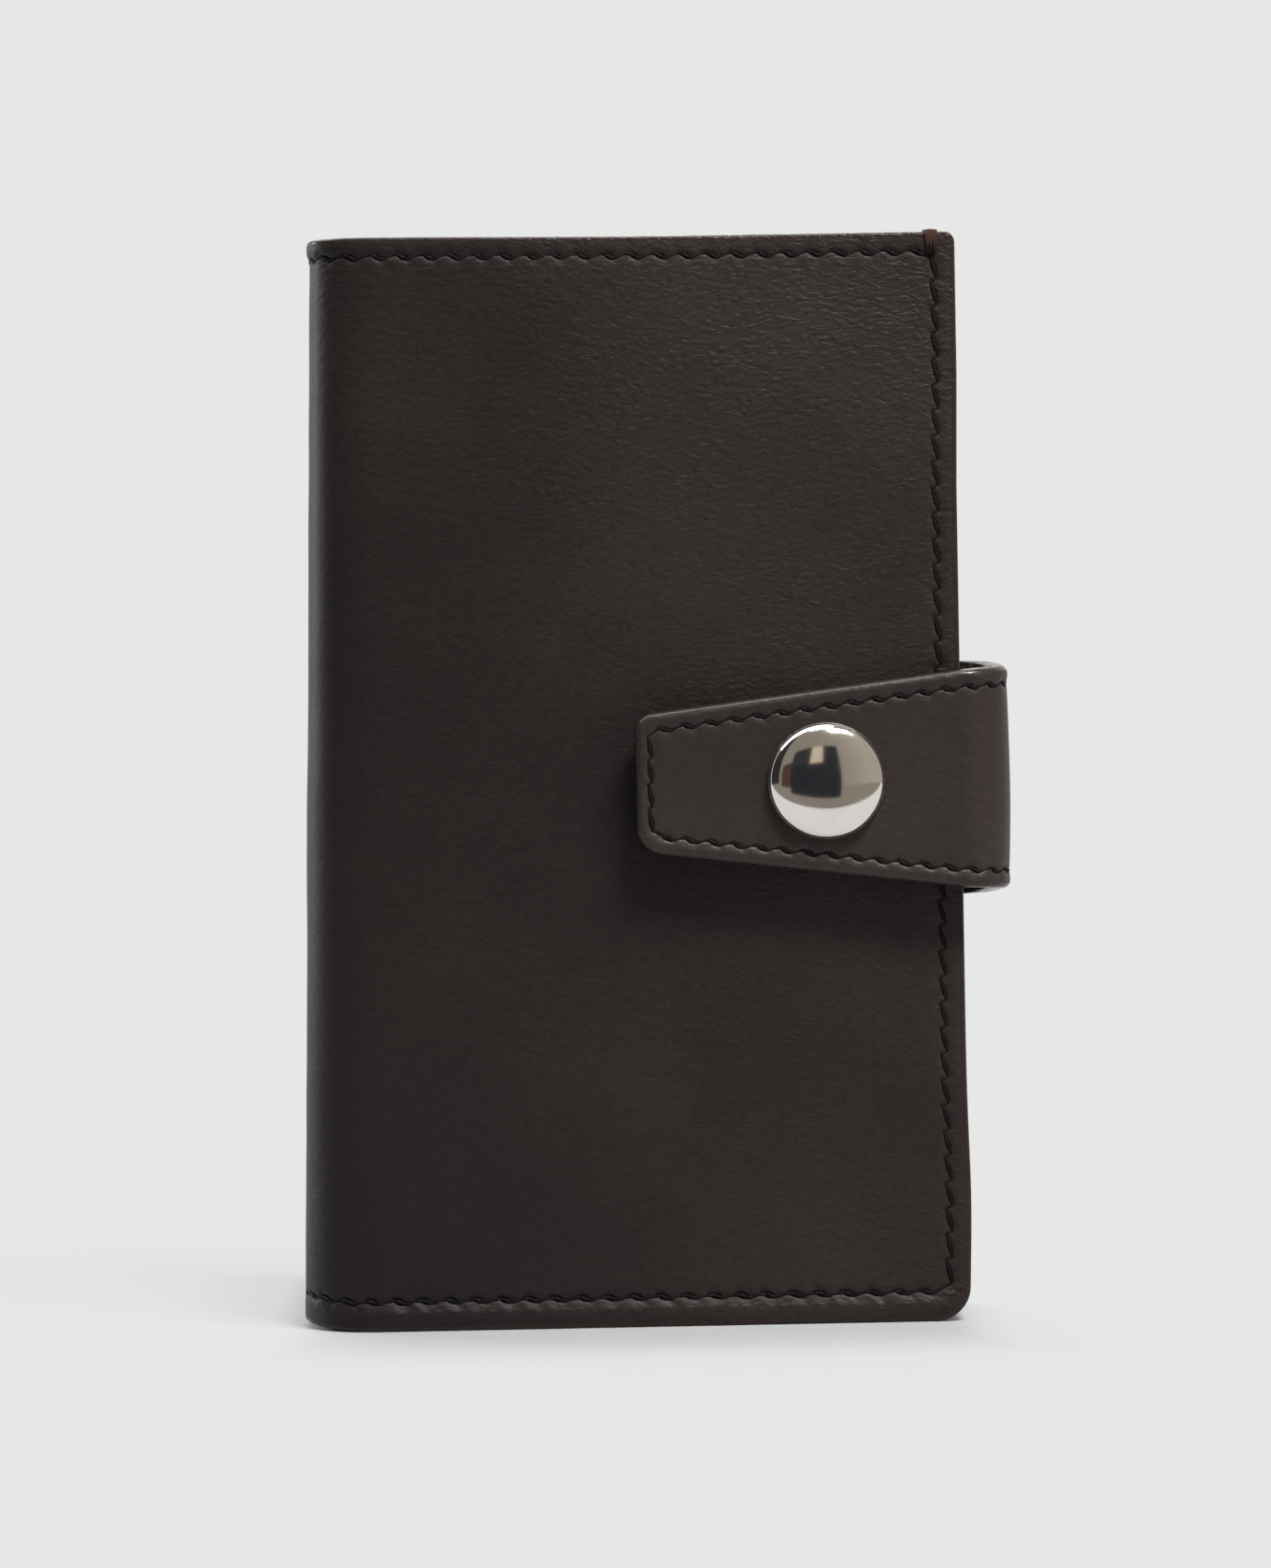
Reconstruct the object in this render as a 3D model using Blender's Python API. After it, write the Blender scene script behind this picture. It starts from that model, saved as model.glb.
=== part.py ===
"""Upright bifold leather wallet, closed, with a strap round its free edge and a press stud.

X runs from the spine to the free edge, -Y is the front and Z is up. The origin is under the
middle of the whole object, on the surface that the wallet stands on.
"""

import math

import bmesh
import bpy
from mathutils import Matrix, Vector

MM = 0.001

# Closed wallet without its strap
HEIGHT = 117.3 * MM
WIDTH = 70.4 * MM
THICKNESS = 17.5 * MM
BOTTOM_CORNER = 3.3 * MM
TOP_CORNER = 1.7 * MM

# Layers of a cover, from the outside in
COVER_LEATHER = 1.4 * MM
STIFFENER = 0.4 * MM
LINING = 0.4 * MM
PANEL_LEATHER = 0.45 * MM
GLUE_LINE = 0.2 * MM
STIFFENER_INSET = 2.0 * MM

# Pockets inside each cover
SLIP_PANEL_TOP = 109.0 * MM
SLIP_MOUTH_FROM_SPINE = 11.0 * MM
CARD_POCKETS = 3
FIRST_POCKET_TOP = 98.0 * MM
POCKET_STEP = 10.0 * MM
CARD_MOUTH_FROM_SPINE = 12.5 * MM

# Folds: each cover keeps an eighth of a turn of the round spine
COVER_SHARE = math.radians(45)
FOLD_GAP = 0.3 * MM
SPINE_STEPS = 10

# Strap
STRAP_LEATHER = 1.2 * MM
STRAP_LINING = 0.7 * MM
STRAP_STANDOFF = 2.1 * MM
STRAP_SEAT = 0.3 * MM
STRAP_BEND = 4.8 * MM
BEND_STEPS = 4
STRAP_HEIGHT = 58.6 * MM
FLAP_OVER_COVER = 35.1 * MM
ROOT_ON_COVER = 27.0 * MM
STRAP_CORNER = 1.4 * MM
TIP_WIDTH = 14.6 * MM
FRONT_BEND_WIDTH = 23.3 * MM
BACK_BEND_WIDTH = 26.0 * MM
ROOT_WIDTH = 27.0 * MM

# Sewing thread, in rows at a distance from the edges. It is full in each stitch, thin at each hole
STITCH_PITCH = 2.7 * MM
STITCH_WIDTH = 0.6 * MM
STITCH_HEIGHT = 0.4 * MM
HOLE_THREAD_WIDTH = 0.3 * MM
HOLE_THREAD_HEIGHT = 0.15 * MM
THREAD_GAP = 0.15 * MM
TOP_ROW = 2.1 * MM
SIDE_ROW = 2.4 * MM
BOTTOM_ROW = 3.2 * MM
STRAP_ROW = 1.9 * MM
ROW_FROM_FOLD = 0.7 * MM
TACK_FROM_EDGE = 1.9 * MM
TACK_WIDTH = 1.6 * MM

# Press stud
SNAP_FROM_EDGE = 14.8 * MM
CAP_RADIUS = 6.25 * MM
CAP_RIM = 0.45 * MM
CAP_HEIGHT = 2.3 * MM
POST_RADIUS = 1.5 * MM
SOCKET_FLANGE_RADIUS = 5.0 * MM
SOCKET_DRUM_RADIUS = 3.7 * MM
SOCKET_MOUTH_RADIUS = 2.45 * MM
SOCKET_GROOVE_RADIUS = 2.7 * MM
SOCKET_PLATE = 0.3 * MM
STUD_FLANGE_RADIUS = 4.6 * MM
STUD_FLANGE = 0.35 * MM
STUD_WALL = 0.75 * MM
STUD_NECK = 0.3 * MM
RIVET_RADIUS = 1.0 * MM
RIVET_HEAD_RADIUS = 4.2 * MM
METAL_GAP = 0.2 * MM
HOLE_GAP = 0.3 * MM
TURNED_STEPS = 40
CAP_STEPS = 9
CORNER_STEPS = 5

# Places that follow from the sizes above
HALF_THICKNESS = THICKNESS / 2
STRAP_THICKNESS = STRAP_LEATHER + GLUE_LINE + STRAP_LINING
STIFFENER_DEPTH = COVER_LEATHER + GLUE_LINE
LINING_DEPTH = STIFFENER_DEPTH + STIFFENER + GLUE_LINE
SLIP_PANEL_DEPTH = LINING_DEPTH + LINING + GLUE_LINE
CARD_POCKET_DEPTH = SLIP_PANEL_DEPTH + PANEL_LEATHER + GLUE_LINE
FLAP_FACE = HALF_THICKNESS + STRAP_STANDOFF + STRAP_THICKNESS
ROOT_FACE = HALF_THICKNESS + STRAP_SEAT + STRAP_THICKNESS
CAP_TOP = FLAP_FACE + METAL_GAP + CAP_HEIGHT
THREAD_PROUD = THREAD_GAP + STITCH_HEIGHT
ORIGIN_X = (WIDTH + STRAP_BEND) / 2
ORIGIN_Y = (ROOT_FACE + THREAD_PROUD - CAP_TOP) / 2
SNAP_X = WIDTH - SNAP_FROM_EDGE
COVER_BEND_LENGTH = HALF_THICKNESS * COVER_SHARE
COVER_LENGTH = COVER_BEND_LENGTH + WIDTH - HALF_THICKNESS
STUD_KNOB_RADIUS = SOCKET_MOUTH_RADIUS - METAL_GAP

# Distances along the strap's outer face, from its tip
BEND_LENGTH = STRAP_BEND * math.radians(90)
FRONT_BEND_END = FLAP_OVER_COVER + BEND_LENGTH
BACK_BEND_START = FRONT_BEND_END + FLAP_FACE + ROOT_FACE - 2 * STRAP_BEND
BACK_BEND_END = BACK_BEND_START + BEND_LENGTH
STRAP_LENGTH = BACK_BEND_END + ROOT_ON_COVER
FLAP_CUT = FLAP_OVER_COVER + BEND_LENGTH / 2
LOOP_CUT = BACK_BEND_START + BEND_LENGTH / 2
STRAP_HALF_GAP = FOLD_GAP / 2 * STRAP_BEND / (STRAP_BEND - STRAP_THICKNESS)
STRAP_PARTS = {
    "flap": (0.0, FLAP_CUT - STRAP_HALF_GAP),
    "loop": (FLAP_CUT + STRAP_HALF_GAP, LOOP_CUT - STRAP_HALF_GAP),
    "root": (LOOP_CUT + STRAP_HALF_GAP, STRAP_LENGTH),
}

# Joint axes, all upright, as points in plan
SPINE_CENTRE = (HALF_THICKNESS, 0.0)
FOLD_OFFSET = HALF_THICKNESS * math.sin(COVER_SHARE)
FOLD_X = HALF_THICKNESS - HALF_THICKNESS * math.cos(COVER_SHARE)
BEND_OFFSET = STRAP_BEND * math.sin(math.radians(45))
FRONT_FOLD = (FOLD_X, -FOLD_OFFSET)
BACK_FOLD = (FOLD_X, FOLD_OFFSET)
LOOP_AXIS = (WIDTH + BEND_OFFSET, ROOT_FACE - STRAP_BEND + BEND_OFFSET)
FLAP_AXIS = (WIDTH + BEND_OFFSET, STRAP_BEND - FLAP_FACE - BEND_OFFSET)

# Colour, roughness and metallic value of each finish
FINISHES = {
    "cover leather": ((0.034, 0.028, 0.026), 0.55, 0.0),
    "strap leather": ((0.042, 0.034, 0.031), 0.55, 0.0),
    "lining leather": ((0.105, 0.052, 0.032), 0.65, 0.0),
    "pocket leather": ((0.040, 0.030, 0.026), 0.60, 0.0),
    "board": ((0.23, 0.17, 0.11), 0.85, 0.0),
    "black thread": ((0.012, 0.010, 0.009), 0.60, 0.0),
    "brown thread": ((0.070, 0.034, 0.020), 0.65, 0.0),
    "bright metal": ((0.78, 0.78, 0.80), 0.16, 1.0),
    "plain metal": ((0.58, 0.57, 0.55), 0.30, 1.0),
}


def clear_scene():
    for item in list(bpy.data.objects):
        bpy.data.objects.remove(item, do_unlink=True)


def finish_for(name, finish):
    colour, roughness, metallic = FINISHES[finish]
    material = bpy.data.materials.new(name)
    material.use_nodes = True
    material.diffuse_color = (*colour, 1.0)
    shader = material.node_tree.nodes["Principled BSDF"]
    shader.inputs["Base Color"].default_value = (*colour, 1.0)
    shader.inputs["Roughness"].default_value = roughness
    shader.inputs["Metallic"].default_value = metallic
    return material


def new_object(name, shape, carrier, finish):
    """Make a node from a bmesh drawn from the spine's outermost line, hung on its joint's empty."""
    mesh = bpy.data.meshes.new(name)
    bmesh.ops.recalc_face_normals(shape, faces=shape.faces)
    shape.to_mesh(mesh)
    shape.free()
    place, empty = carrier
    mesh.transform(Matrix.Translation((-place[0], -place[1], 0.0)))
    piece = bpy.data.objects.new(name, mesh)
    piece.parent = empty
    bpy.context.scene.collection.objects.link(piece)
    mesh.materials.append(finish_for(name, finish))
    mesh.shade_smooth()
    mesh.set_sharp_from_angle(angle=math.radians(30))
    return piece


def axis_empty(name, place, parent=None):
    """An empty on an upright axis, with its place in plan, ready to carry a body's pieces."""
    empty = bpy.data.objects.new(name, None)
    empty.empty_display_size = 10 * MM
    start = (ORIGIN_X, ORIGIN_Y)
    if parent is not None:
        start = parent[0]
        empty.parent = parent[1]
    empty.location = (place[0] - start[0], place[1] - start[1], 0.0)
    bpy.context.scene.collection.objects.link(empty)
    return place, empty


def join_rings(shape, rings):
    """Close a body round rings of four corners each, one after another."""
    for ring, following in zip(rings, rings[1:]):
        for side in range(4):
            ahead = (side + 1) % 4
            shape.faces.new((ring[side], ring[ahead], following[ahead], following[side]))
    shape.faces.new(rings[0])
    shape.faces.new(rings[-1])


def strip(stations):
    """A strip of sheet. Each station has an outer and an inner point in plan, a low and a high Z."""
    shape = bmesh.new()
    rings = []
    for outer, inner, low, high in stations:
        corners = ((outer, low), (outer, high), (inner, high), (inner, low))
        rings.append([shape.verts.new((x, y, z)) for (x, y), z in corners])
    join_rings(shape, rings)
    return shape


def turned(profile):
    """Spin a profile of (radius, distance in front of the middle plane) about the press stud's axis."""
    shape = bmesh.new()
    x, z = SNAP_X, STRAP_HEIGHT
    points = [shape.verts.new((x + radius, -front, z)) for radius, front in profile]
    edges = [shape.edges.new(pair) for pair in zip(points, points[1:])]
    if profile[0][0] > 0:
        edges.append(shape.edges.new((points[-1], points[0])))
    bmesh.ops.spin(
        shape,
        geom=points + edges,
        cent=(x, 0.0, z),
        axis=(0.0, 1.0, 0.0),
        angle=math.tau,
        steps=TURNED_STEPS,
        use_merge=True,
    )
    bmesh.ops.remove_doubles(shape, verts=shape.verts, dist=0.001 * MM)
    return shape


def drill(piece, radius, carrier):
    """Cut a round hole on the press stud's axis right through a piece."""
    reach = 2 * THICKNESS
    rod = turned(((0.0, -reach), (radius, -reach), (radius, reach), (0.0, reach)))
    cutter = new_object(piece.name + "_drill", rod, carrier, "board")
    cutter.hide_render = True
    cutter.display_type = "WIRE"
    cut = piece.modifiers.new("hole", "BOOLEAN")
    cut.operation = "DIFFERENCE"
    cut.solver = "EXACT"
    cut.object = cutter


def corner_drop(x, edge, radius):
    """How far a rounded corner has drawn in at x, for a corner of this radius that ends at edge."""
    reach = x - (edge - radius)
    if reach <= 0 or radius <= 0:
        return 0.0
    return radius - math.sqrt(max(radius**2 - reach**2, 0.0))


def corner_places(edge, radii):
    """Where in X the outline of rounded corners is sampled, from the start of the curve to the edge."""
    places = {edge}
    for radius in radii:
        for step in range(CORNER_STEPS):
            turn = math.radians(90) * step / CORNER_STEPS
            places.add(edge - radius + radius * math.sin(turn))
    return sorted(places)


def flat_stations(side, start, edge, depth, thickness, low, high, corners):
    """Stations of a flat layer of a cover, side -1 at the front and +1 at the back."""
    outer = side * (HALF_THICKNESS - depth)
    inner = side * (HALF_THICKNESS - depth - thickness)
    bottom, top = corners
    stations = []
    for x in [start] + corner_places(edge, corners):
        low_here = low + corner_drop(x, edge, bottom)
        high_here = high - corner_drop(x, edge, top)
        stations.append(((x, outer), (x, inner), low_here, high_here))
    return stations


def spine_stations(start, end, steps, depth, thickness, low, high):
    """Stations round the spine. Angles run from 0 at the front cover to half a turn at the back."""
    outer = HALF_THICKNESS - depth
    inner = outer - thickness
    gap = FOLD_GAP / 2 / inner
    first = start + gap if start > 0 else start
    last = end - gap if end < math.pi else end
    stations = []
    for step in range(steps + 1):
        turn = first + (last - first) * step / steps
        away = (-math.sin(turn), -math.cos(turn))
        points = [
            (SPINE_CENTRE[0] + radius * away[0], SPINE_CENTRE[1] + radius * away[1])
            for radius in (outer, inner)
        ]
        stations.append((points[0], points[1], low, high))
    return stations


def cover_layer(side, depth, thickness):
    """A layer that runs from the fold, round its share of the spine and on to the free edge."""
    steps = SPINE_STEPS // 2
    if side < 0:
        bend = spine_stations(0.0, COVER_SHARE, steps, depth, thickness, 0.0, HEIGHT)[::-1]
    else:
        start = math.pi - COVER_SHARE
        bend = spine_stations(start, math.pi, steps, depth, thickness, 0.0, HEIGHT)
    corners = (BOTTOM_CORNER, TOP_CORNER)
    flat = flat_stations(side, HALF_THICKNESS, WIDTH, depth, thickness, 0.0, HEIGHT, corners)
    return strip(bend + flat[1:])


def spine_layer(depth, thickness, inset):
    low, high = inset, HEIGHT - inset
    end = math.pi - COVER_SHARE
    return strip(spine_stations(COVER_SHARE, end, SPINE_STEPS, depth, thickness, low, high))


def stiffener(side):
    start = HALF_THICKNESS
    edge = WIDTH - STIFFENER_INSET
    low, high = STIFFENER_INSET, HEIGHT - STIFFENER_INSET
    corners = (BOTTOM_CORNER, TOP_CORNER)
    return strip(flat_stations(side, start, edge, STIFFENER_DEPTH, STIFFENER, low, high, corners))


def slip_panel(side):
    corners = (BOTTOM_CORNER, TOP_CORNER)
    start = SLIP_MOUTH_FROM_SPINE
    depth = SLIP_PANEL_DEPTH
    return strip(flat_stations(side, start, WIDTH, depth, PANEL_LEATHER, 0.0, SLIP_PANEL_TOP, corners))


def card_pocket(side, number):
    """Card pockets count from the cover inwards, and each opens one step below the last."""
    depth = CARD_POCKET_DEPTH + number * (PANEL_LEATHER + GLUE_LINE)
    top = FIRST_POCKET_TOP - number * POCKET_STEP
    start = CARD_MOUTH_FROM_SPINE
    corners = (BOTTOM_CORNER, 0.0)
    return strip(flat_stations(side, start, WIDTH, depth, PANEL_LEATHER, 0.0, top, corners))


def make_cover(word, side, carrier):
    """All the layers of one cover, and returns those that the press stud goes through."""
    leather = cover_layer(side, 0.0, COVER_LEATHER)
    outer = new_object(word + "_outer_leather", leather, carrier, "cover leather")
    board = new_object(word + "_stiffener", stiffener(side), carrier, "board")
    lining = cover_layer(side, LINING_DEPTH, LINING)
    new_object(word + "_lining", lining, carrier, "lining leather")
    new_object(word + "_slip_panel", slip_panel(side), carrier, "pocket leather")
    for number in range(CARD_POCKETS):
        name = f"{word}_card_pocket_{number + 1}"
        new_object(name, card_pocket(side, number), carrier, "pocket leather")
    for row_name, marks in cover_rows(side).items():
        new_object(word + row_name, thread(marks), carrier, "black thread")
    new_object(word + "_bar_tack", bar_tack(side), carrier, "brown thread")
    return outer, board


def make_spine(carrier):
    new_object("spine_outer_leather", spine_layer(0.0, COVER_LEATHER, 0.0), carrier, "cover leather")
    board = spine_layer(STIFFENER_DEPTH, STIFFENER, STIFFENER_INSET)
    new_object("spine_reinforcement", board, carrier, "board")
    new_object("spine_lining", spine_layer(LINING_DEPTH, LINING, 0.0), carrier, "lining leather")
    reach = HALF_THICKNESS * (math.pi / 2 - COVER_SHARE) - ROW_FROM_FOLD
    for row_name, height in (("upper", HEIGHT - TOP_ROW), ("lower", BOTTOM_ROW)):
        shape = thread(row_marks(-reach, reach, spine_line(height)))
        new_object(f"spine_{row_name}_stitching", shape, carrier, "black thread")


def strap_width(along):
    """The strap's width at a distance from its tip."""
    marks = (
        (0.0, TIP_WIDTH),
        (FLAP_OVER_COVER, FRONT_BEND_WIDTH),
        (BACK_BEND_END, BACK_BEND_WIDTH),
        (STRAP_LENGTH, ROOT_WIDTH),
    )
    for (start, width), (end, next_width) in zip(marks, marks[1:]):
        if along <= end:
            return width + (next_width - width) * (along - start) / (end - start)
    return ROOT_WIDTH


def strap_place(along):
    """The point in plan on the strap's outer face at a distance from its tip, and the way out."""
    if along <= FLAP_OVER_COVER:
        return (WIDTH - FLAP_OVER_COVER + along, -FLAP_FACE), (0.0, -1.0)
    if along <= FRONT_BEND_END:
        turn = (along - FLAP_OVER_COVER) / STRAP_BEND
        out = (math.sin(turn), -math.cos(turn))
        return (WIDTH + STRAP_BEND * out[0], STRAP_BEND - FLAP_FACE + STRAP_BEND * out[1]), out
    if along <= BACK_BEND_START:
        reach = along - FRONT_BEND_END
        return (WIDTH + STRAP_BEND, STRAP_BEND - FLAP_FACE + reach), (1.0, 0.0)
    if along <= BACK_BEND_END:
        turn = (along - BACK_BEND_START) / STRAP_BEND
        out = (math.cos(turn), math.sin(turn))
        return (WIDTH + STRAP_BEND * out[0], ROOT_FACE - STRAP_BEND + STRAP_BEND * out[1]), out
    return (WIDTH + BACK_BEND_END - along, ROOT_FACE), (0.0, 1.0)


def strap_distances(part):
    """Where along the strap a part is sampled: its ends, its rounded corners and its bends."""
    start, end = STRAP_PARTS[part]
    marks = []
    for bend_start in (FLAP_OVER_COVER, BACK_BEND_START):
        for step in range(2 * BEND_STEPS + 1):
            marks.append(bend_start + BEND_LENGTH * step / (2 * BEND_STEPS))
    for reach in corner_places(STRAP_CORNER, (STRAP_CORNER,)):
        marks.append(STRAP_CORNER - reach)
        marks.append(STRAP_LENGTH - STRAP_CORNER + reach)
    inside = {along for along in marks if start < along < end}
    return sorted({start, end} | inside)


def strap_layer(part, depth, thickness):
    """One layer of one part of the strap, with its corners rounded at a cut end."""
    stations = []
    for along in strap_distances(part):
        point, out = strap_place(along)
        half = strap_width(along) / 2
        half -= corner_drop(-along, 0.0, STRAP_CORNER)
        half -= corner_drop(along, STRAP_LENGTH, STRAP_CORNER)
        deep = depth + thickness
        outer = (point[0] - depth * out[0], point[1] - depth * out[1])
        inner = (point[0] - deep * out[0], point[1] - deep * out[1])
        stations.append((outer, inner, STRAP_HEIGHT - half, STRAP_HEIGHT + half))
    return strip(stations)


def make_strap(part, carrier):
    """The two layers and the thread of one part of the strap, and returns the layers."""
    leather = strap_layer(part, 0.0, STRAP_LEATHER)
    lining = strap_layer(part, STRAP_LEATHER + GLUE_LINE, STRAP_LINING)
    for row_name, marks in strap_rows(part).items():
        new_object(f"strap_{part}{row_name}", thread(marks), carrier, "black thread")
    return (
        new_object(f"strap_{part}_leather", leather, carrier, "strap leather"),
        new_object(f"strap_{part}_lining", lining, carrier, "lining leather"),
    )


def row_marks(start, end, place_at):
    """Marks of evenly spaced stitches between two distances along a line, a hole at each end.

    place_at gives a point on the face and the way out. A mark is the two and whether it is a stitch.
    """
    stitches = max(1, round(abs(end - start) / STITCH_PITCH))
    marks = []
    for half in range(2 * stitches + 1):
        place, out = place_at(start + (end - start) * half / (2 * stitches))
        marks.append((place, out, half % 2 == 1))
    return marks


def joined_rows(*rows):
    """The marks of rows that follow each other, each from the last one's end hole."""
    marks = list(rows[0])
    for row in rows[1:]:
        marks += row[1:]
    return marks


def thread(marks):
    """One thread that lies on the faces under its marks."""
    shape = bmesh.new()
    places = [mark[0] for mark in marks]
    before = [places[0]] + places[:-1]
    after = places[1:] + [places[-1]]
    rings = []
    for (place, out, stitch), last, following in zip(marks, before, after):
        across = out.cross(following - last).normalized()
        width = STITCH_WIDTH if stitch else HOLE_THREAD_WIDTH
        height = STITCH_HEIGHT if stitch else HOLE_THREAD_HEIGHT
        foot = place + THREAD_GAP * out
        section = ((-0.5, 0.0), (-0.3, 1.0), (0.3, 1.0), (0.5, 0.0))
        ring = [foot + wide * width * across + high * height * out for wide, high in section]
        rings.append([shape.verts.new(corner) for corner in ring])
    join_rings(shape, rings)
    return shape


def cover_line(side, height):
    """A level line on a cover's outer face, by its distance from the fold."""

    def place_at(distance):
        if distance > COVER_BEND_LENGTH:
            x = HALF_THICKNESS + distance - COVER_BEND_LENGTH
            return Vector((x, side * HALF_THICKNESS, height)), Vector((0.0, side, 0.0))
        turn = math.pi / 2 - COVER_SHARE + distance / HALF_THICKNESS
        out = Vector((-math.cos(turn), side * math.sin(turn), 0.0))
        return Vector((HALF_THICKNESS, 0.0, height)) + HALF_THICKNESS * out, out

    return place_at


def spine_line(height):
    """A level line round the spine's outer face, by its distance from the middle of the spine."""

    def place_at(distance):
        turn = distance / HALF_THICKNESS
        out = Vector((-math.cos(turn), math.sin(turn), 0.0))
        return Vector((HALF_THICKNESS, 0.0, height)) + HALF_THICKNESS * out, out

    return place_at


def side_line(side):
    """The upright line of the row next to a cover's free edge, by its height."""

    def place_at(height):
        return Vector((WIDTH - SIDE_ROW, side * HALF_THICKNESS, height)), Vector((0.0, side, 0.0))

    return place_at


def strap_edge_line(way):
    """The line of the row along the strap's upper (+1) or lower (-1) edge, by distance from the tip."""

    def place_at(along):
        (x, y), out = strap_place(along)
        half = strap_width(along) / 2 - STRAP_ROW
        return Vector((x, y, STRAP_HEIGHT + way * half)), Vector((*out, 0.0))

    return place_at


def strap_end_line(along):
    """The upright line of the row across a cut end of the strap, by its height."""

    def place_at(height):
        (x, y), out = strap_place(along)
        return Vector((x, y, height)), Vector((*out, 0.0))

    return place_at


def cover_rows(side):
    """The marks of a cover's thread by name, along its bottom, free edge and top.

    The strap's root lies on the back cover's row, so that row is in two threads, above and below it.
    """
    end = COVER_LENGTH - SIDE_ROW
    low, high = BOTTOM_ROW, HEIGHT - TOP_ROW
    bottom = row_marks(ROW_FROM_FOLD, end, cover_line(side, low))
    top = row_marks(end, ROW_FROM_FOLD, cover_line(side, high))
    if side < 0:
        upright = row_marks(low, high, side_line(side))
        return {"_stitching": joined_rows(bottom, upright, top)}
    covered = ROOT_WIDTH / 2 + STITCH_WIDTH
    below = row_marks(low, STRAP_HEIGHT - covered, side_line(side))
    above = row_marks(STRAP_HEIGHT + covered, high, side_line(side))
    return {
        "_lower_stitching": joined_rows(bottom, below),
        "_upper_stitching": joined_rows(above, top),
    }


def strap_rows(part):
    """The marks of a strap part's thread by name, along its edges and across its cut end."""
    start, end = STRAP_PARTS[part]
    start += STRAP_ROW if part == "flap" else ROW_FROM_FOLD
    end -= STRAP_ROW if part == "root" else ROW_FROM_FOLD
    near, far = (end, start) if part == "flap" else (start, end)
    lower = row_marks(near, far, strap_edge_line(-1))
    upper = row_marks(far, near, strap_edge_line(1))
    if part == "loop":
        return {"_lower_stitching": lower, "_upper_stitching": upper}
    half = strap_width(far) / 2 - STRAP_ROW
    across = row_marks(STRAP_HEIGHT - half, STRAP_HEIGHT + half, strap_end_line(far))
    return {"_stitching": joined_rows(lower, across, upper)}


def bar_tack(side):
    """The thread wrapped over a cover's top edge near the free corner, from just above its row."""
    shape = bmesh.new()
    low = HEIGHT - TOP_ROW + STITCH_WIDTH / 2 + THREAD_GAP
    near, far = THREAD_GAP, THREAD_PROUD
    front = HALF_THICKNESS
    inside = HALF_THICKNESS - LINING_DEPTH - LINING
    outline = (
        (front + far, low),
        (front + far, HEIGHT + far),
        (inside - far, HEIGHT + far),
        (inside - far, low),
        (inside - near, low),
        (inside - near, HEIGHT + near),
        (front + near, HEIGHT + near),
        (front + near, low),
    )
    start = WIDTH - TACK_FROM_EDGE - TACK_WIDTH
    points = [shape.verts.new((start, side * y, z)) for y, z in outline]
    face = shape.faces.new(points)
    grown = bmesh.ops.extrude_face_region(shape, geom=[face])
    moved = [item for item in grown["geom"] if isinstance(item, bmesh.types.BMVert)]
    bmesh.ops.translate(shape, verts=moved, vec=(TACK_WIDTH, 0.0, 0.0))
    return shape


def make_cap(carrier):
    """The domed cap with its post, which rivets the socket to the strap."""
    under = FLAP_FACE + METAL_GAP
    post_end = HALF_THICKNESS + STRAP_STANDOFF - METAL_GAP - SOCKET_PLATE
    profile = [(0.0, post_end), (POST_RADIUS, post_end), (POST_RADIUS, under), (CAP_RADIUS, under)]
    rise = CAP_HEIGHT - CAP_RIM
    for step in range(CAP_STEPS):
        turn = math.radians(90) * step / CAP_STEPS
        profile.append((CAP_RADIUS * math.cos(turn), under + CAP_RIM + rise * math.sin(turn)))
    profile.append((0.0, CAP_TOP))
    shape = turned(profile)
    new_object("snap_cap", shape, carrier, "bright metal")


def make_socket(carrier):
    """The socket ring under the strap, with the groove that grips the stud's knob."""
    back = HALF_THICKNESS + STRAP_STANDOFF - METAL_GAP
    plate = back - SOCKET_PLATE
    face = HALF_THICKNESS + METAL_GAP + STUD_FLANGE + METAL_GAP
    ease = METAL_GAP
    profile = (
        (SOCKET_MOUTH_RADIUS, face),
        (SOCKET_DRUM_RADIUS - ease, face),
        (SOCKET_DRUM_RADIUS, face + ease),
        (SOCKET_DRUM_RADIUS, plate),
        (SOCKET_FLANGE_RADIUS, plate),
        (SOCKET_FLANGE_RADIUS, back),
        (POST_RADIUS + HOLE_GAP, back),
        (POST_RADIUS + HOLE_GAP, plate),
        (SOCKET_GROOVE_RADIUS, plate),
        (SOCKET_GROOVE_RADIUS, face + 2 * ease),
        (SOCKET_MOUTH_RADIUS, face + ease),
    )
    shape = turned(profile)
    new_object("snap_socket", shape, carrier, "plain metal")


def make_stud(carrier):
    """The stud on the front cover, a flange with a necked knob round the rivet's hole."""
    seat = HALF_THICKNESS + METAL_GAP
    flange = seat + STUD_FLANGE
    knob_top = HALF_THICKNESS + STRAP_STANDOFF - 2 * METAL_GAP - SOCKET_PLATE
    bulge = (flange + STUD_NECK + knob_top) / 2
    hole = RIVET_RADIUS + METAL_GAP
    profile = (
        (hole, seat),
        (STUD_FLANGE_RADIUS, seat),
        (STUD_FLANGE_RADIUS, flange),
        (STUD_KNOB_RADIUS - METAL_GAP, flange),
        (STUD_KNOB_RADIUS - METAL_GAP, flange + STUD_NECK / 2),
        (STUD_KNOB_RADIUS, bulge),
        (hole + STUD_WALL / 2, knob_top),
        (hole, knob_top),
    )
    shape = turned(profile)
    new_object("snap_stud", shape, carrier, "plain metal")


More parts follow.
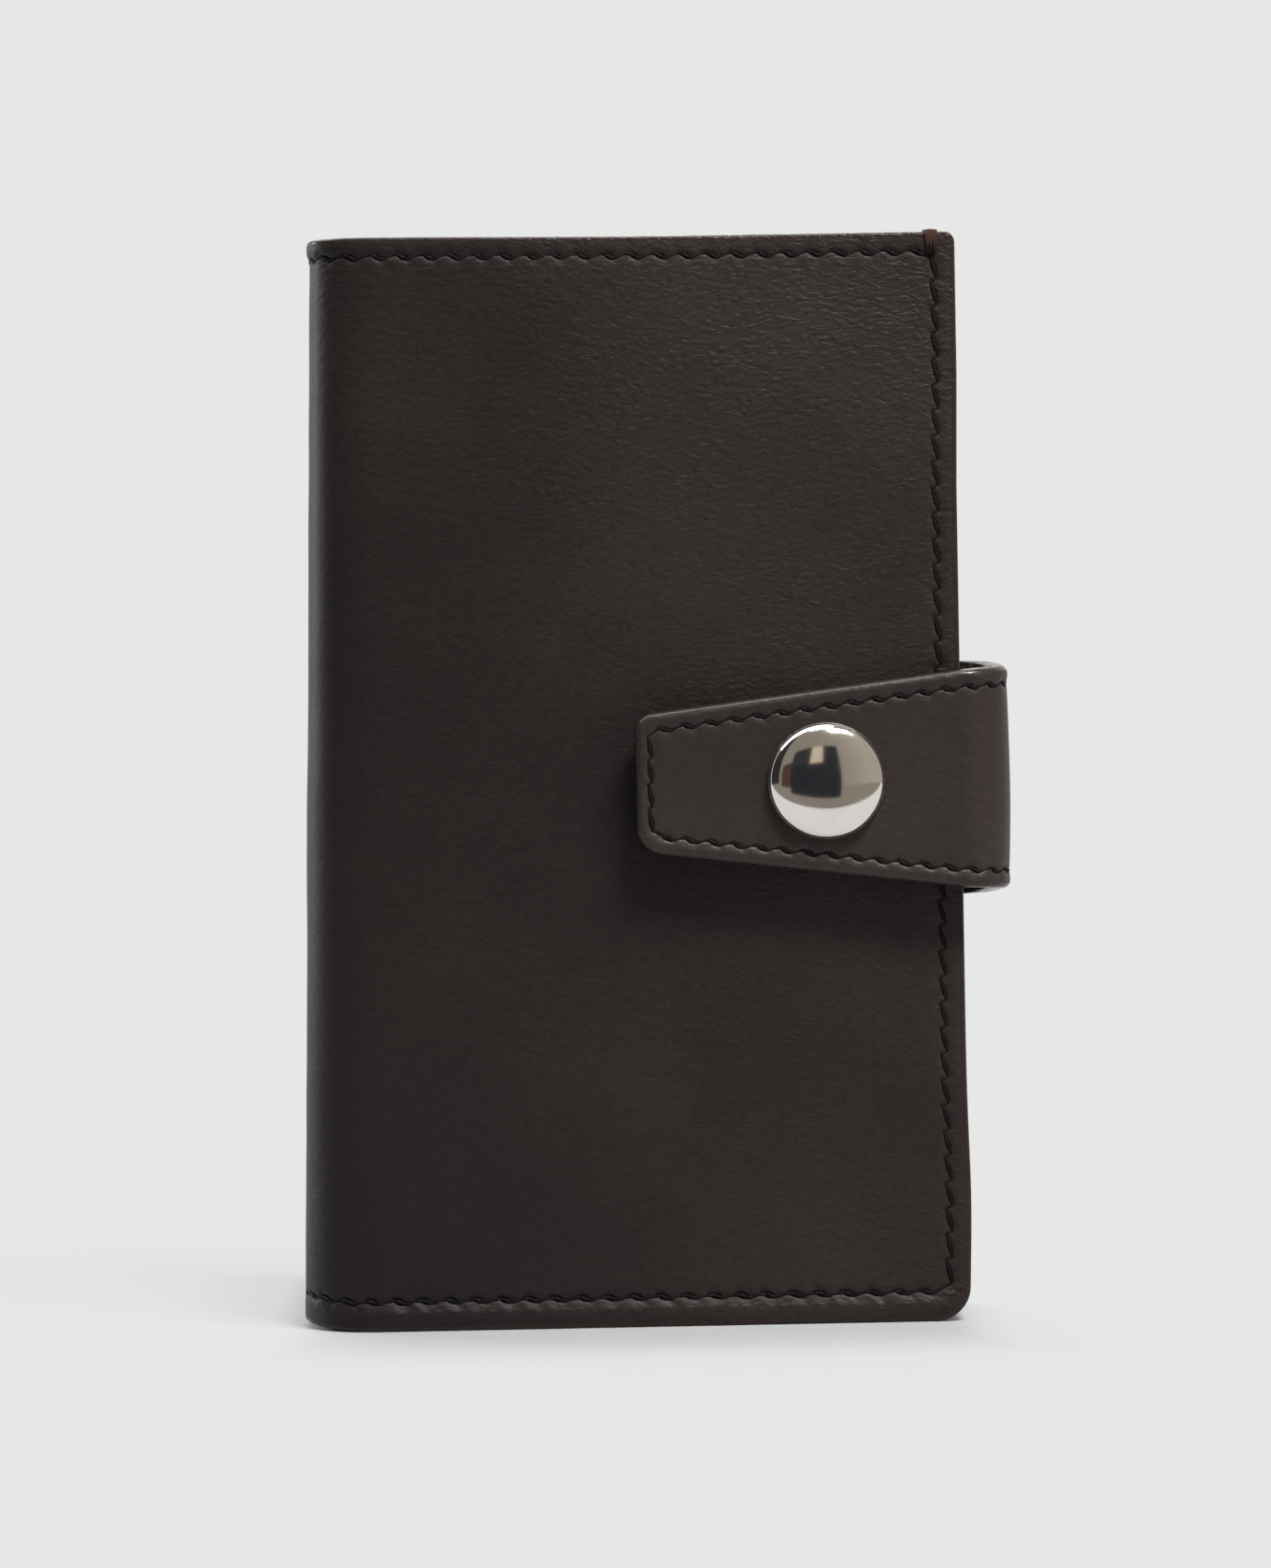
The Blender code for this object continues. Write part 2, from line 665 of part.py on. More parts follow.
def make_stud_rivet(carrier):
    """The rivet whose head lies under the cover leather and whose shank fills the stud."""
    head_top = HALF_THICKNESS - COVER_LEATHER - METAL_GAP
    head_under = head_top - STIFFENER
    shank_end = HALF_THICKNESS + STRAP_STANDOFF - 2 * METAL_GAP - SOCKET_PLATE
    profile = (
        (0.0, head_under),
        (RIVET_HEAD_RADIUS, head_under),
        (RIVET_HEAD_RADIUS, head_top),
        (RIVET_RADIUS, head_top),
        (RIVET_RADIUS, shank_end),
        (0.0, shank_end),
    )
    shape = turned(profile)
    new_object("snap_stud_rivet", shape, carrier, "plain metal")


def build():
    clear_scene()
    back = axis_empty("back_cover", (ORIGIN_X, ORIGIN_Y))
    spine = axis_empty("back_fold_axis", BACK_FOLD, back)
    front = axis_empty("front_fold_axis", FRONT_FOLD, spine)
    loop = axis_empty("strap_loop_axis", LOOP_AXIS, back)
    flap = axis_empty("strap_flap_axis", FLAP_AXIS, loop)

    make_cover("back", 1, back)
    make_strap("root", back)
    make_spine(spine)
    cover_leather, cover_board = make_cover("front", -1, front)
    drill(cover_leather, RIVET_RADIUS + HOLE_GAP, front)
    drill(cover_board, RIVET_HEAD_RADIUS + HOLE_GAP, front)
    make_stud(front)
    make_stud_rivet(front)
    make_strap("loop", loop)
    for layer in make_strap("flap", flap):
        drill(layer, POST_RADIUS + HOLE_GAP, flap)
    make_cap(flap)
    make_socket(flap)


build()
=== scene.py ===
"""The looks of the leather wallet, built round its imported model.

Each leather layer is drawn as a flat pattern, as it would be cut from a hide, and then wrapped
round the spine or along the strap. On a pattern, u runs away from the spine or from the strap's
tip, v runs up, and depth goes inwards from the outermost face.
"""

import math
from functools import partial

import bmesh
import bpy
import numpy as np
from mathutils import Euler, Matrix, Vector, noise


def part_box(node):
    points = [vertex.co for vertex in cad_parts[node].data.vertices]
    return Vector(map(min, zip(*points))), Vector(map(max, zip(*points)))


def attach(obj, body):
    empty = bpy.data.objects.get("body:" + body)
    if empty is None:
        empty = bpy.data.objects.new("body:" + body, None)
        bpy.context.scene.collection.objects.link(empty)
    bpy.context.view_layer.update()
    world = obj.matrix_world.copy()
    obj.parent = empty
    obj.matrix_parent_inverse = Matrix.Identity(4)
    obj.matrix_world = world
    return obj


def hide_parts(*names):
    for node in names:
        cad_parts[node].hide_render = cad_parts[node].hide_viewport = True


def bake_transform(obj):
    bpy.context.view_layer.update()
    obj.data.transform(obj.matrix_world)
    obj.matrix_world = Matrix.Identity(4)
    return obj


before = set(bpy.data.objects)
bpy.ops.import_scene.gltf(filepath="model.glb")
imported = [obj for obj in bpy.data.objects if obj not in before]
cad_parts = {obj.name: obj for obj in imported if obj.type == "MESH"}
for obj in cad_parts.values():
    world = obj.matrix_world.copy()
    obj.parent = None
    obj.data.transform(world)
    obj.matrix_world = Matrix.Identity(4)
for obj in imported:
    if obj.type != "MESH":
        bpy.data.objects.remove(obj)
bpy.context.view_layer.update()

MM = 0.001

# Places taken from the frame
FRONT_LOW, FRONT_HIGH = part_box("front_outer_leather")
BACK_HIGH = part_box("back_outer_leather")[1]
FLAP_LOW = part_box("strap_flap_leather")[0]
LOOP_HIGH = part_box("strap_loop_leather")[1]
ROOT_LOW, ROOT_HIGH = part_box("strap_root_leather")
CAP_LOW, CAP_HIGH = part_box("snap_cap")
EDGE_X = FRONT_HIGH.x
SPINE_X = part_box("spine_outer_leather")[0].x
HEIGHT = FRONT_HIGH.z
MIDDLE_Y = (FRONT_LOW.y + BACK_HIGH.y) / 2
HALF_THICKNESS = (BACK_HIGH.y - FRONT_LOW.y) / 2
SNAP_X = (CAP_LOW.x + CAP_HIGH.x) / 2
STRAP_Z = (ROOT_LOW.z + ROOT_HIGH.z) / 2
STRAP_BEND = LOOP_HIGH.x - EDGE_X

# Cover patterns: u starts at the middle of the spine
SPINE_TURN = HALF_THICKNESS * math.pi / 2
COVER_LENGTH = SPINE_TURN + EDGE_X - SPINE_X - HALF_THICKNESS
BOTTOM_CORNER = 3.7 * MM
TOP_CORNER = 1.2 * MM
SKIN = (0.0, 2.1 * MM)
SKIN_RIM = 0.38 * MM
SKIN_INNER_HOLLOW = 0.6 * MM
BOARD = (1.62 * MM, 1.98 * MM)
BOARD_INSET = 2 * MM
BOARD_RIM = 0.1 * MM
LINING = (2.2 * MM, 2.6 * MM)
PANEL_DEPTHS = (
    (2.8 * MM, 3.25 * MM),
    (3.45 * MM, 3.9 * MM),
    (4.1 * MM, 4.55 * MM),
    (4.75 * MM, 5.2 * MM),
)
PANEL_TOPS = (109.0 * MM, 98.0 * MM, 88.0 * MM, 78.0 * MM)
PANEL_STARTS = (11.0 * MM, 12.5 * MM, 12.5 * MM, 12.5 * MM)
MOUTH_LINE = 1.5 * MM  # from a panel's mouth to the line pressed below it

# How the closed covers have settled: how square the spine is at its foot and at its top, how much
# longer each metre below the lean's height is, how the free edge sways and how the spine lifts
SPINE_SQUARENESS = (2.15, 3.1)
LEAN = 0.325
LEAN_HEIGHT = 70.7 * MM
HIGH_SWAY = 0.2 * MM
HIGH_SWAY_FROM = 90 * MM
HIGH_SWAY_OVER = 12 * MM
LOW_SWAY = 0.3 * MM
LOW_SWAY_AT = 13 * MM
LOW_SWAY_OVER = 9 * MM
SWAY_REACH = 40 * MM
SPINE_LIFT = 0.4 * MM
SPINE_LIFT_REACH = (6 * MM, 48 * MM)
SPINE_RISE = 0.6 * MM
SPINE_RISE_REACH = (1 * MM, 12 * MM)
SPINE_FLARE = 0.28 * MM
SPINE_FLARE_BAND = (-0.2 * MM, 1.1 * MM)

# Strap pattern: u starts at the tip, v at the strap's middle line
FLAP_LENGTH = EDGE_X - FLAP_LOW.x
FRONT_BEND_END = FLAP_LENGTH + STRAP_BEND * math.pi / 2
BACK_BEND_START = FRONT_BEND_END + ROOT_HIGH.y - FLAP_LOW.y - 2 * STRAP_BEND
BACK_BEND_END = BACK_BEND_START + STRAP_BEND * math.pi / 2
STRAP_LENGTH = BACK_BEND_END + EDGE_X - ROOT_LOW.x
STRAP_MIDDLE = (FRONT_BEND_END + BACK_BEND_START) / 2
WIDTHS_AT = (0.0, FLAP_LENGTH, BACK_BEND_END, STRAP_LENGTH)
STRAP_WIDTHS = (14.6 * MM, 23.3 * MM, 26.0 * MM, 27.0 * MM)
TIP_CORNERS = (2.6 * MM, 1.7 * MM)
ROOT_CORNERS = (1.7 * MM, 1.7 * MM)
STRAP_BOW = 0.85 * MM
STRAP_BOW_LEFT_AT_RIM = 0.3
STRAP_DROP = 0.35 * MM
STRAP_LEATHER = (0.0, 1.38 * MM)
STRAP_LINING = (1.42 * MM, 2.1 * MM)
STRAP_RIM = 0.6 * MM
STRAP_LINING_RIM = 0.25 * MM

# Sewing: how far its rows are from the edges, and its zigzag
TOP_ROW = 2.1 * MM
SIDE_ROW = 2.35 * MM
BOTTOM_ROW = 3.2 * MM
STRAP_ROW = 1.9 * MM
TIP_ROW = 1.5 * MM
SEAM_FROM_START = 2.0 * MM
STITCH_PITCH = 2.75 * MM
STRAP_PITCH = 2.55 * MM
LEVEL_SLANT = 0.28 * MM
BOTTOM_SLANT = 0.75 * LEVEL_SLANT
UPRIGHT_SLANT = 0.36 * MM
STRAP_SLANT = 0.24 * MM
LEVEL_SLIT = 0.42
UPRIGHT_SLIT = 0.86

# What a stitch does to the leather: its slit, the link between slits, a soft groove and a pinch
SEWN_WITHIN = 6 * MM
STITCH_REACH = 3.2 * MM
SLIT_DEPTH = 0.36 * MM
SLIT_WIDTH = 0.19 * MM
FINE_SLIT = 0.85
FINE_GROOVE = 0.75
# The least painted shade along a slit that is not fine
LEAST_SHADE = 0.3
LINK_DEPTH = 0.13 * MM
LINK_WIDTH = 0.18 * MM
GROOVE_DEPTH = 0.14 * MM
GROOVE_WIDTH = 0.58 * MM
GROOVE_RISE = 0.25
PINCH_DEPTH = 0.11 * MM
PINCH_SIZE = (0.95 * MM, 0.34 * MM)
BOTTOM_PULL = 0.3
INNER_PULL = 0.45

# Threads
THREAD_RADIUS = 0.185 * MM
THREAD_PLIES = 3
PLY_TWIST = 1.1 * MM
PLY_LOBE = 0.16
LINK_RADIUS = 0.45
SWELL_LATE = 1.3
THREAD_DEPTH = 0.10 * MM
THREAD_SINK = {"over": 0.05 * MM, "link": 0.04 * MM, "sunk": 0.45 * MM}
INNER_LIFT = 0.06 * MM
TACK_TURNS = 5
TACK_FROM_EDGE = 1.9 * MM
TACK_WIDTH = 1.5 * MM
TACK_LENGTH = 1.9 * MM

# Snap cap: a dome on a rim that is rolled under
CAP_DEPTH = 2.3 * MM
DOME_RISE = 1.62 * MM
DOME_INSET = 0.16 * MM
DOME_POWERS = (2.2, 0.62)
CURL_DEPTH = 1.98 * MM
CURL_SIZE = (0.26 * MM, 0.3 * MM)
UNDER_INSET = 0.6 * MM
POST_RADIUS = 1.5 * MM

# Finishes. Leather: its tones, the paint on its cut edges, the size of its pebbles, the height of
# its grain, the depth of its creases, and its painted light ramp: how its tone is scaled from the
# spine or the strap's tip outwards, painted shade near the spine and painted light further out
# Painted shade: the near-black put in the needle slits, where shade falls in the cuts
PAINTED_SLIT_SHADE = (0.004, 0.0035, 0.003)
LEATHERS = {
    "cover": dict(
        tones=((0.0160, 0.0115, 0.0109), (0.0268, 0.0192, 0.0178)), paint=(0.030, 0.0205, 0.0170),
        cell=0.52 * MM, grain=0.058 * MM, crease=0.6, roughness=0.5, sheen=0.18,
        painted_light_ramp=(0.80, 1.20),
    ),
    "strap": dict(
        tones=((0.0230, 0.0158, 0.0143), (0.0348, 0.0262, 0.0236)), paint=(0.034, 0.028, 0.025),
        cell=0.5 * MM, grain=0.05 * MM, crease=0.4, roughness=0.46, painted_light_ramp=(1.02, 1.02),
    ),
    "lining": dict(
        tones=((0.042, 0.023, 0.016), (0.070, 0.040, 0.028)), paint=(0.019, 0.011, 0.0105),
        cell=0.4 * MM, grain=0.04 * MM, crease=0.5, roughness=0.58,
    ),
    "backing": dict(
        tones=((0.026, 0.016, 0.0125), (0.042, 0.027, 0.021)), paint=(0.03, 0.021, 0.018),
        cell=0.4 * MM, grain=0.044 * MM, crease=0.5, roughness=0.55,
    ),
    "pocket": dict(
        tones=((0.020, 0.014, 0.012), (0.034, 0.025, 0.021)), paint=(0.022, 0.012, 0.010),
        cell=0.5 * MM, grain=0.055 * MM, crease=0.6, roughness=0.52,
    ),
}
THREADS = {
    "black": ((0.0035, 0.003, 0.003), (0.010, 0.0085, 0.008)),
    "brown": ((0.030, 0.014, 0.009), (0.085, 0.045, 0.030)),
    # A darker brown, for the ends of the bar tack below its turns
    "deep_brown": ((0.006, 0.0035, 0.003), (0.020, 0.010, 0.007)),
}
SHARED_SLOTS = {"backing_leather": "lining_leather", "deep_brown_thread": "brown_thread"}

# Table and backdrop. The table fades into the backdrop's colour with the distance from a box
# round the wallet, later behind than in front, and more at the wallet's sides
BACKDROP = (0.799, 0.799, 0.799)
TABLE_TONES = ((0.522, 0.531, 0.540), (0.542, 0.551, 0.560))
TABLE_REACH = 3.0
FADE_SHIFT = (0.003, 0.0, 0.0)
FADE_BOX = (0.038, 0.010, 1.0)
FADE_START = 0.003
FADE_ENDS = (0.030, 0.052)
FADE_ENDS_AT = (-0.02, 0.03)
FADED_NEAR = 0.9
LAST_FADE = (0.03, 0.16)
SIDE_FADES = ((0.032, 0.041, 0.0, 0.76), (0.038, 0.056, 0.0, 0.14))

# Lamps: place, target, size, power and colour
LAMPS = {
    "key": ((0.19, -0.28, 0.56), (0.0, 0.0, 0.06), (0.26, 0.10), 4.6, (1.0, 0.99, 0.97)),
    "side": ((0.32, -0.24, 0.16), (0.02, 0.0, 0.05), (0.16, 0.16), 0.22, (1.0, 0.98, 0.96)),
    "back": ((-0.12, 0.50, 0.55), (0.0, 0.0, 0.05), (0.6, 0.3), 2.4, (1.0, 1.0, 1.0)),
    "rim": ((-0.40, 0.26, 0.16), (-0.038, 0.0, 0.05), (0.10, 0.26), 0.54, (1.0, 0.99, 0.98)),
}
FILL_COLOUR = (0.95, 0.975, 1.0)
FILL_STRENGTH = 0.13

# Cards that only show in reflections: two corners, and a colour or the colours at left and right
WALL, RIGHT_WALL, DARK, DAYLIGHT = (
    (0.26, 0.235, 0.195),
    (0.42, 0.375, 0.315),
    (0.023, 0.025, 0.030),
    (5.0, 5.0, 5.0),
)
CARD_BLEND = (-0.15, 0.8)
CARDS = {
    "front_wall": ((-0.8, -0.8, 0.0), (0.8, -0.8, 1.4), WALL, RIGHT_WALL),
    "right_wall": ((0.8, -0.8, 0.0), (0.8, 0.5, 1.4), RIGHT_WALL),
    "left_wall": ((-0.8, -0.8, 0.0), (-0.8, -0.05, 1.4), (0.03, 0.028, 0.027)),
    "ceiling": ((-0.8, -0.8, 1.4), (0.8, 0.5, 1.4), WALL),
    "window": ((-0.75, -0.22, 0.62), (-0.12, 0.35, 0.62), DAYLIGHT),
    "skylight": ((-0.12, -0.31, 0.62), (0.12, 0.35, 0.62), DAYLIGHT),
    "near_table": ((-0.8, -0.8, 0.002), (0.8, -0.16, 0.002), WALL),
    "table_edge": ((-0.13, -0.171, 0.003), (0.09, -0.165, 0.003), DARK),
    "dark_block": ((-0.103, -0.25, 0.009), (0.066, -0.25, 0.105), DARK),
    "dark_left": ((-0.103, -0.25, 0.105), (-0.020, -0.25, 0.178), (0.034, 0.034, 0.036)),
    "dark_right": ((0.018, -0.25, 0.105), (0.066, -0.25, 0.178), DARK),
    "pale_gap": ((-0.020, -0.25, 0.105), (0.018, -0.25, 0.178), (0.60, 0.52, 0.41)),
    "red_edge": ((-0.19, -0.25, 0.03), (-0.103, -0.25, 0.13), (0.085, 0.045, 0.040)),
}

# Camera, as it stood for the photograph
CAMERA_PLACE = (-11.2 * MM, -609.2 * MM, 70.9 * MM)
CAMERA_YAW = math.radians(0.846)
CAMERA_PITCH = math.radians(-1.176)
CAMERA_ROLL = math.radians(-1.029)
CAMERA_LENS = 128.7


class Nodes:
    """A shader tree, with short ways to add nodes to it. Colours are given without their alpha."""

    def __init__(self, tree):
        self.tree = tree

    def put(self, socket, value):
        """Link a socket to another, or set it to a plain value."""
        if isinstance(value, bpy.types.NodeSocket):
            self.tree.links.new(value, socket)
        else:
            socket.default_value = (*value, 1.0) if socket.type == "RGBA" else value

    def add(self, kind, inputs=None, **settings):
        """The outputs of a new node with these settings and inputs."""
        item = self.tree.nodes.new("ShaderNode" + kind)
        for key, value in settings.items():
            setattr(item, key, value)
        for key, value in (inputs or {}).items():
            self.put(item.inputs[key], value)
        return item.outputs

    def finish(self, **inputs):
        """Set inputs of the tree's own shader, with underscores for the spaces in their names."""
        for key, value in inputs.items():
            self.put(self.tree.nodes["Principled BSDF"].inputs[key.replace("_", " ")], value)

    def maths(self, operation, first, second=0.0, clamp=False):
        return self.add("Math", {0: first, 1: second}, operation=operation, use_clamp=clamp)[0]

    def vectors(self, operation, first, second=(0.0, 0.0, 0.0)):
        """A sum of vectors and the like. The second value is a number for SCALE."""
        second_input = "Scale" if operation == "SCALE" else 1
        outputs = self.add("VectorMath", {0: first, second_input: second}, operation=operation)
        return outputs["Value" if operation == "LENGTH" else 0]

    def mixed(self, share, first, second):
        """A mix of two colours."""
        return self.add("Mix", {"Factor": share, 6: first, 7: second}, data_type="RGBA")[2]

    def remapped(self, value, low, high, to_low=0.0, to_high=1.0):
        """A smooth step between two values as another value goes from low to high."""
        inputs = {"Value": value, "From Min": low, "From Max": high}
        inputs.update({"To Min": to_low, "To Max": to_high})
        return self.add("MapRange", inputs, interpolation_type="SMOOTHSTEP")[0]

    def noise(self, vector, scale, detail, output=0):
        return self.add("TexNoise", {"Vector": vector, "Scale": scale, "Detail": detail})[output]

    def mapped(self, vector, rotation, scale):
        return self.add("Mapping", {"Vector": vector, "Rotation": rotation, "Scale": scale})[0]

    def bump(self, height, distance):
        return self.add("Bump", {"Height": height, "Strength": 1.0, "Distance": distance})[0]

    def split(self, vector):
        return self.add("SeparateXYZ", {0: vector})

    def attribute(self, name):
        return self.add("Attribute", attribute_name=name)["Vector"]

    def place(self):
        return self.add("TexCoord")["Object"]

    def seen_rays(self):
        """One for the rays that show the background: straight, mirrored or through glass."""
        path = self.add("LightPath")
        seen = self.maths("MAXIMUM", path["Is Camera Ray"], path["Is Glossy Ray"])
        return self.maths("MAXIMUM", seen, path["Is Transmission Ray"])


def new_material(name):
    material = bpy.data.materials.new(name)
    material.use_nodes = True
    return material, Nodes(material.node_tree)


def leather(
    name, tones, paint, cell, grain, crease, roughness, sheen=0.3, painted_light_ramp=(0.86, 1.12)
):
    """Leather with pebbled grain, fine creases, needle slits darkened with painted shade,
    painted cut edges and a painted light ramp, darker at the spine and lighter outwards.

    The grain is drawn out along the pattern, and stronger outwards and near the top.
    """
    material, nodes = new_material(name)
    plus, minus, times = (partial(nodes.maths, word) for word in ("ADD", "SUBTRACT", "MULTIPLY"))
    pattern = nodes.attribute("pattern")
    across, up, _ = nodes.split(pattern)
    from_cut, slit, _ = nodes.split(nodes.attribute("marks"))

    drift = nodes.vectors("SCALE", nodes.noise(pattern, 30.0, 1.0, "Color"), 6 * MM)
    laid = nodes.vectors("ADD", pattern, drift)
    warp = nodes.vectors("SCALE", nodes.noise(laid, 0.35 / cell, 2.0, "Color"), 1.8 * cell)
    bent = nodes.vectors("ADD", laid, warp)
    drawn = nodes.mapped(bent, (0.0, 0.0, math.radians(9)), (0.5, 1.0, 1.0))
    pebbles = nodes.add(
        "TexVoronoi",
        {"Vector": drawn, "Scale": 1 / cell, "Smoothness": 0.5},
        feature="SMOOTH_F1",
    )["Distance"]
    pores = nodes.noise(pattern, 2.2 / cell, 3.0)

    ridge = nodes.maths("ABSOLUTE", minus(nodes.noise(drawn, 0.75 / cell, 2.0), 0.5))
    patches = nodes.remapped(nodes.noise(pattern, 70.0, 3.0), 0.3, 0.7, 0.5, 1.0)
    creased = times(nodes.remapped(ridge, 0.0, 0.2, 1.0, 0.0), patches)
    creased = times(creased, nodes.remapped(across, 0.0, 0.065, 0.4, 1.3))
    height = plus(times(pebbles, -1.0), times(pores, 0.3))
    height = minus(height, times(creased, crease))
    relief = nodes.remapped(across, 0.0, 0.065, 0.72 * grain, 1.12 * grain)
    relief = times(relief, nodes.remapped(up, 0.080, 0.108, 0.68, 1.0))

    tone = plus(nodes.noise(pattern, 28.0, 6.0), times(minus(pores, 0.5), 0.5))
    # The valleys between the pebbles are painted darker: painted shade in the grain's hollows
    tone = minus(tone, times(pebbles, 0.25))
    base = nodes.mixed(nodes.remapped(tone, 0.15, 0.7), *tones)
    # Painted light: the tone is scaled from dark near the spine to light outwards, painted shade
    # and painted light where the lamps fall across the leather
    base = nodes.vectors("SCALE", base, nodes.remapped(across, 0.0, 0.07, *painted_light_ramp))
    # Painted shade: the slits are darkened towards the near-black slit shade
    base = nodes.mixed(times(slit, 0.85, clamp=True), base, PAINTED_SLIT_SHADE)
    painted = nodes.remapped(from_cut, 0.42 * MM, 0.54 * MM, 1.0, 0.0)
    gloss = plus(times(pores, 0.22), roughness - 0.11)
    nodes.finish(
        Base_Color=nodes.mixed(painted, base, paint),
        Roughness=minus(gloss, times(painted, 0.28)),
        Normal=nodes.bump(height, relief),
        Specular_IOR_Level=sheen,
    )
    return material


def waxed_thread(name, dark, light):
    """Twisted thread, whose fibres follow its plies."""
    material, nodes = new_material(name)
    pattern = nodes.attribute("pattern")
    along = nodes.mapped(pattern, (0.0, 0.0, math.radians(24)), (1.0, 0.16, 1.0))
    fibres = nodes.noise(along, 16000.0, 3.0)
    nodes.finish(
        Base_Color=nodes.mixed(nodes.remapped(fibres, 0.3, 0.7), dark, light),
        Roughness=nodes.maths("ADD", nodes.maths("MULTIPLY", fibres, 0.2), 0.6),
        Normal=nodes.bump(fibres, 0.03 * MM),
        Specular_IOR_Level=0.12,
    )
    return material


def fibre_board(name):
    """Pressed board, flecked with fibres."""
    material, nodes = new_material(name)
    flecks = nodes.noise(nodes.place(), 1400.0, 6.0)
    share = nodes.remapped(flecks, 0.3, 0.7)
    nodes.finish(
        Base_Color=nodes.mixed(share, (0.16, 0.11, 0.07), (0.30, 0.22, 0.15)),
        Roughness=0.85,
        Normal=nodes.bump(flecks, 0.05 * MM),
    )
    return material


def plated_metal(name, colour, roughness, brushed):
    """Nickel plate with a faint cloud and, as far as it is brushed, fine scratches."""
    material, nodes = new_material(name)
    place = nodes.place()
    cloud = nodes.noise(place, 500.0, 5.0)
    lines = nodes.mapped(place, (0.0, math.radians(37), 0.0), (0.04, 1.0, 1.0))
    scratches = nodes.noise(lines, 9000.0, 3.0)
    gloss = nodes.maths("ADD", nodes.maths("MULTIPLY", cloud, 0.05), roughness)
    gloss = nodes.maths("ADD", gloss, nodes.maths("MULTIPLY", scratches, brushed))
    dull = [0.94 * c for c in colour]
    nodes.finish(
        Base_Color=nodes.mixed(nodes.remapped(cloud, 0.2, 0.8), dull, colour),
        Roughness=gloss,
        Normal=nodes.bump(scratches, brushed * 0.02 * MM),
        Metallic=1.0,
    )
    return material


def smooth(value, low, high):
    """A smooth step from 0 at low to 1 at high."""
    share = np.clip((value - low) / (high - low), 0.0, 1.0)
    return share * share * (3 - 2 * share)


def hump(value, middle, width):
    """A bell curve of height 1."""
    return np.exp(-(((value - middle) / width) ** 2))


def rolling(u, v, size, seed):
    """Smooth hills between about -1 and 1 on a pattern, of this size."""
    return np.array([noise.noise(Vector((a / size, b / size, seed))) for a, b in zip(u, v)])


def wrap_cover(side, u, v, depth):
    """Points of a cover pattern in the row frame, and the ways out. Side is -1 at the front."""
    turn = np.minimum(u, SPINE_TURN) / HALF_THICKNESS
    out = np.stack([-np.cos(turn), side * np.sin(turn), np.zeros_like(turn)], axis=-1)
    flat = np.maximum(u - SPINE_TURN, 0.0)
    foot, top = SPINE_SQUARENESS
    power = foot + (top - foot) * np.clip(v / HEIGHT, 0.0, 1.0)
    bulge = (np.abs(np.cos(turn)) ** power + np.sin(turn) ** power) ** (-1 / power)
    at_spine = 1 - smooth(u, 0.5 * SPINE_TURN, SPINE_TURN)
    start, end = (HEIGHT - TOP_ROW + edge for edge in SPINE_FLARE_BAND)
    flare = SPINE_FLARE * smooth(v, start, end) * at_spine
    radius = (HALF_THICKNESS - depth + flare) * bulge
    x = SPINE_X + HALF_THICKNESS + radius * out[..., 0] + flat
    y = MIDDLE_Y + radius * out[..., 1]
    x = EDGE_X + (x - EDGE_X) * (1 + LEAN * (LEAN_HEIGHT - v))
    sway = HIGH_SWAY * np.clip((v - HIGH_SWAY_FROM) / HIGH_SWAY_OVER, 0.0, 1.0)
    sway = sway + LOW_SWAY * hump(v, LOW_SWAY_AT, LOW_SWAY_OVER)
    x = x + sway * np.clip(flat / SWAY_REACH, 0.0, 1.0)
    lift = SPINE_LIFT * smooth(v, 0.6 * HEIGHT, HEIGHT) * (1 - smooth(u, *SPINE_LIFT_REACH))
    near_foot = 1 - smooth(v, 0.0, SPINE_RISE_REACH[1])
    rise = SPINE_RISE * near_foot * (1 - smooth(u, *SPINE_RISE_REACH))
    return np.stack([x, y, v + lift + rise], axis=-1), out


def wrap_strap(u, v, depth):
    """Points of the strap's pattern in the row frame, and the ways out."""
    turn = np.clip((u - FLAP_LENGTH) / STRAP_BEND, 0.0, math.pi / 2)
    turn = turn + np.clip((u - BACK_BEND_START) / STRAP_BEND, 0.0, math.pi / 2)
    out = np.stack([np.sin(turn), -np.cos(turn), np.zeros_like(turn)], axis=-1)
    radius = STRAP_BEND - depth
    upright = np.clip(u - FRONT_BEND_END, 0.0, BACK_BEND_START - FRONT_BEND_END)
    reach = np.maximum(FLAP_LENGTH - u, 0.0) + np.maximum(u - BACK_BEND_END, 0.0)
    x = EDGE_X - reach + radius * out[..., 0]
    y = FLAP_LOW.y + STRAP_BEND + upright + radius * out[..., 1]
    bow = STRAP_BOW * (1 - (1 - STRAP_BOW_LEFT_AT_RIM) * (v / strap_half(u)) ** 2)
    share = np.clip((u - FLAP_LENGTH) / (BACK_BEND_END - FLAP_LENGTH), 0.0, 1.0)
    x = x + bow * np.sin(math.pi * share) ** 2
    z = STRAP_Z + v - STRAP_DROP * smooth(u, FRONT_BEND_END, BACK_BEND_END)
    return np.stack([x, y, z], axis=-1), out


def strap_half(u):
    """Half of the strap's width at distances from its tip, before its corners are rounded."""
    return np.interp(u, WIDTHS_AT, [width / 2 for width in STRAP_WIDTHS])


def drawn_in(reach, radius):
    """How far a rounded corner has drawn in where its curve is reach long, up to its radius."""
    reach = np.clip(reach, 0.0, radius)
    return radius - np.sqrt(radius**2 - reach**2)


def rim_offsets(rim):
    """Distances from a cut edge at which its rounding is drawn."""
    return [rim * (1 - math.cos(math.radians(angle))) for angle in range(0, 91, 18)]


def clean_lines(values, least=0.04 * MM):
    """Sorted values without those that almost repeat."""
    values = sorted(values)
    kept = [values[0]]
    for value in values[1:-1]:
        if value - kept[-1] > least and values[-1] - value > least:
            kept.append(value)
    return kept + [values[-1]]


def spread(start, end, step):
    return list(np.linspace(start, end, max(2, round((end - start) / step) + 1)))


def corner_insets(radius, step):
    """Distances from an edge at which a corner of this radius is drawn, every so many degrees."""
    return [radius * (1 - math.sin(math.radians(angle))) for angle in range(0, 90, step)]


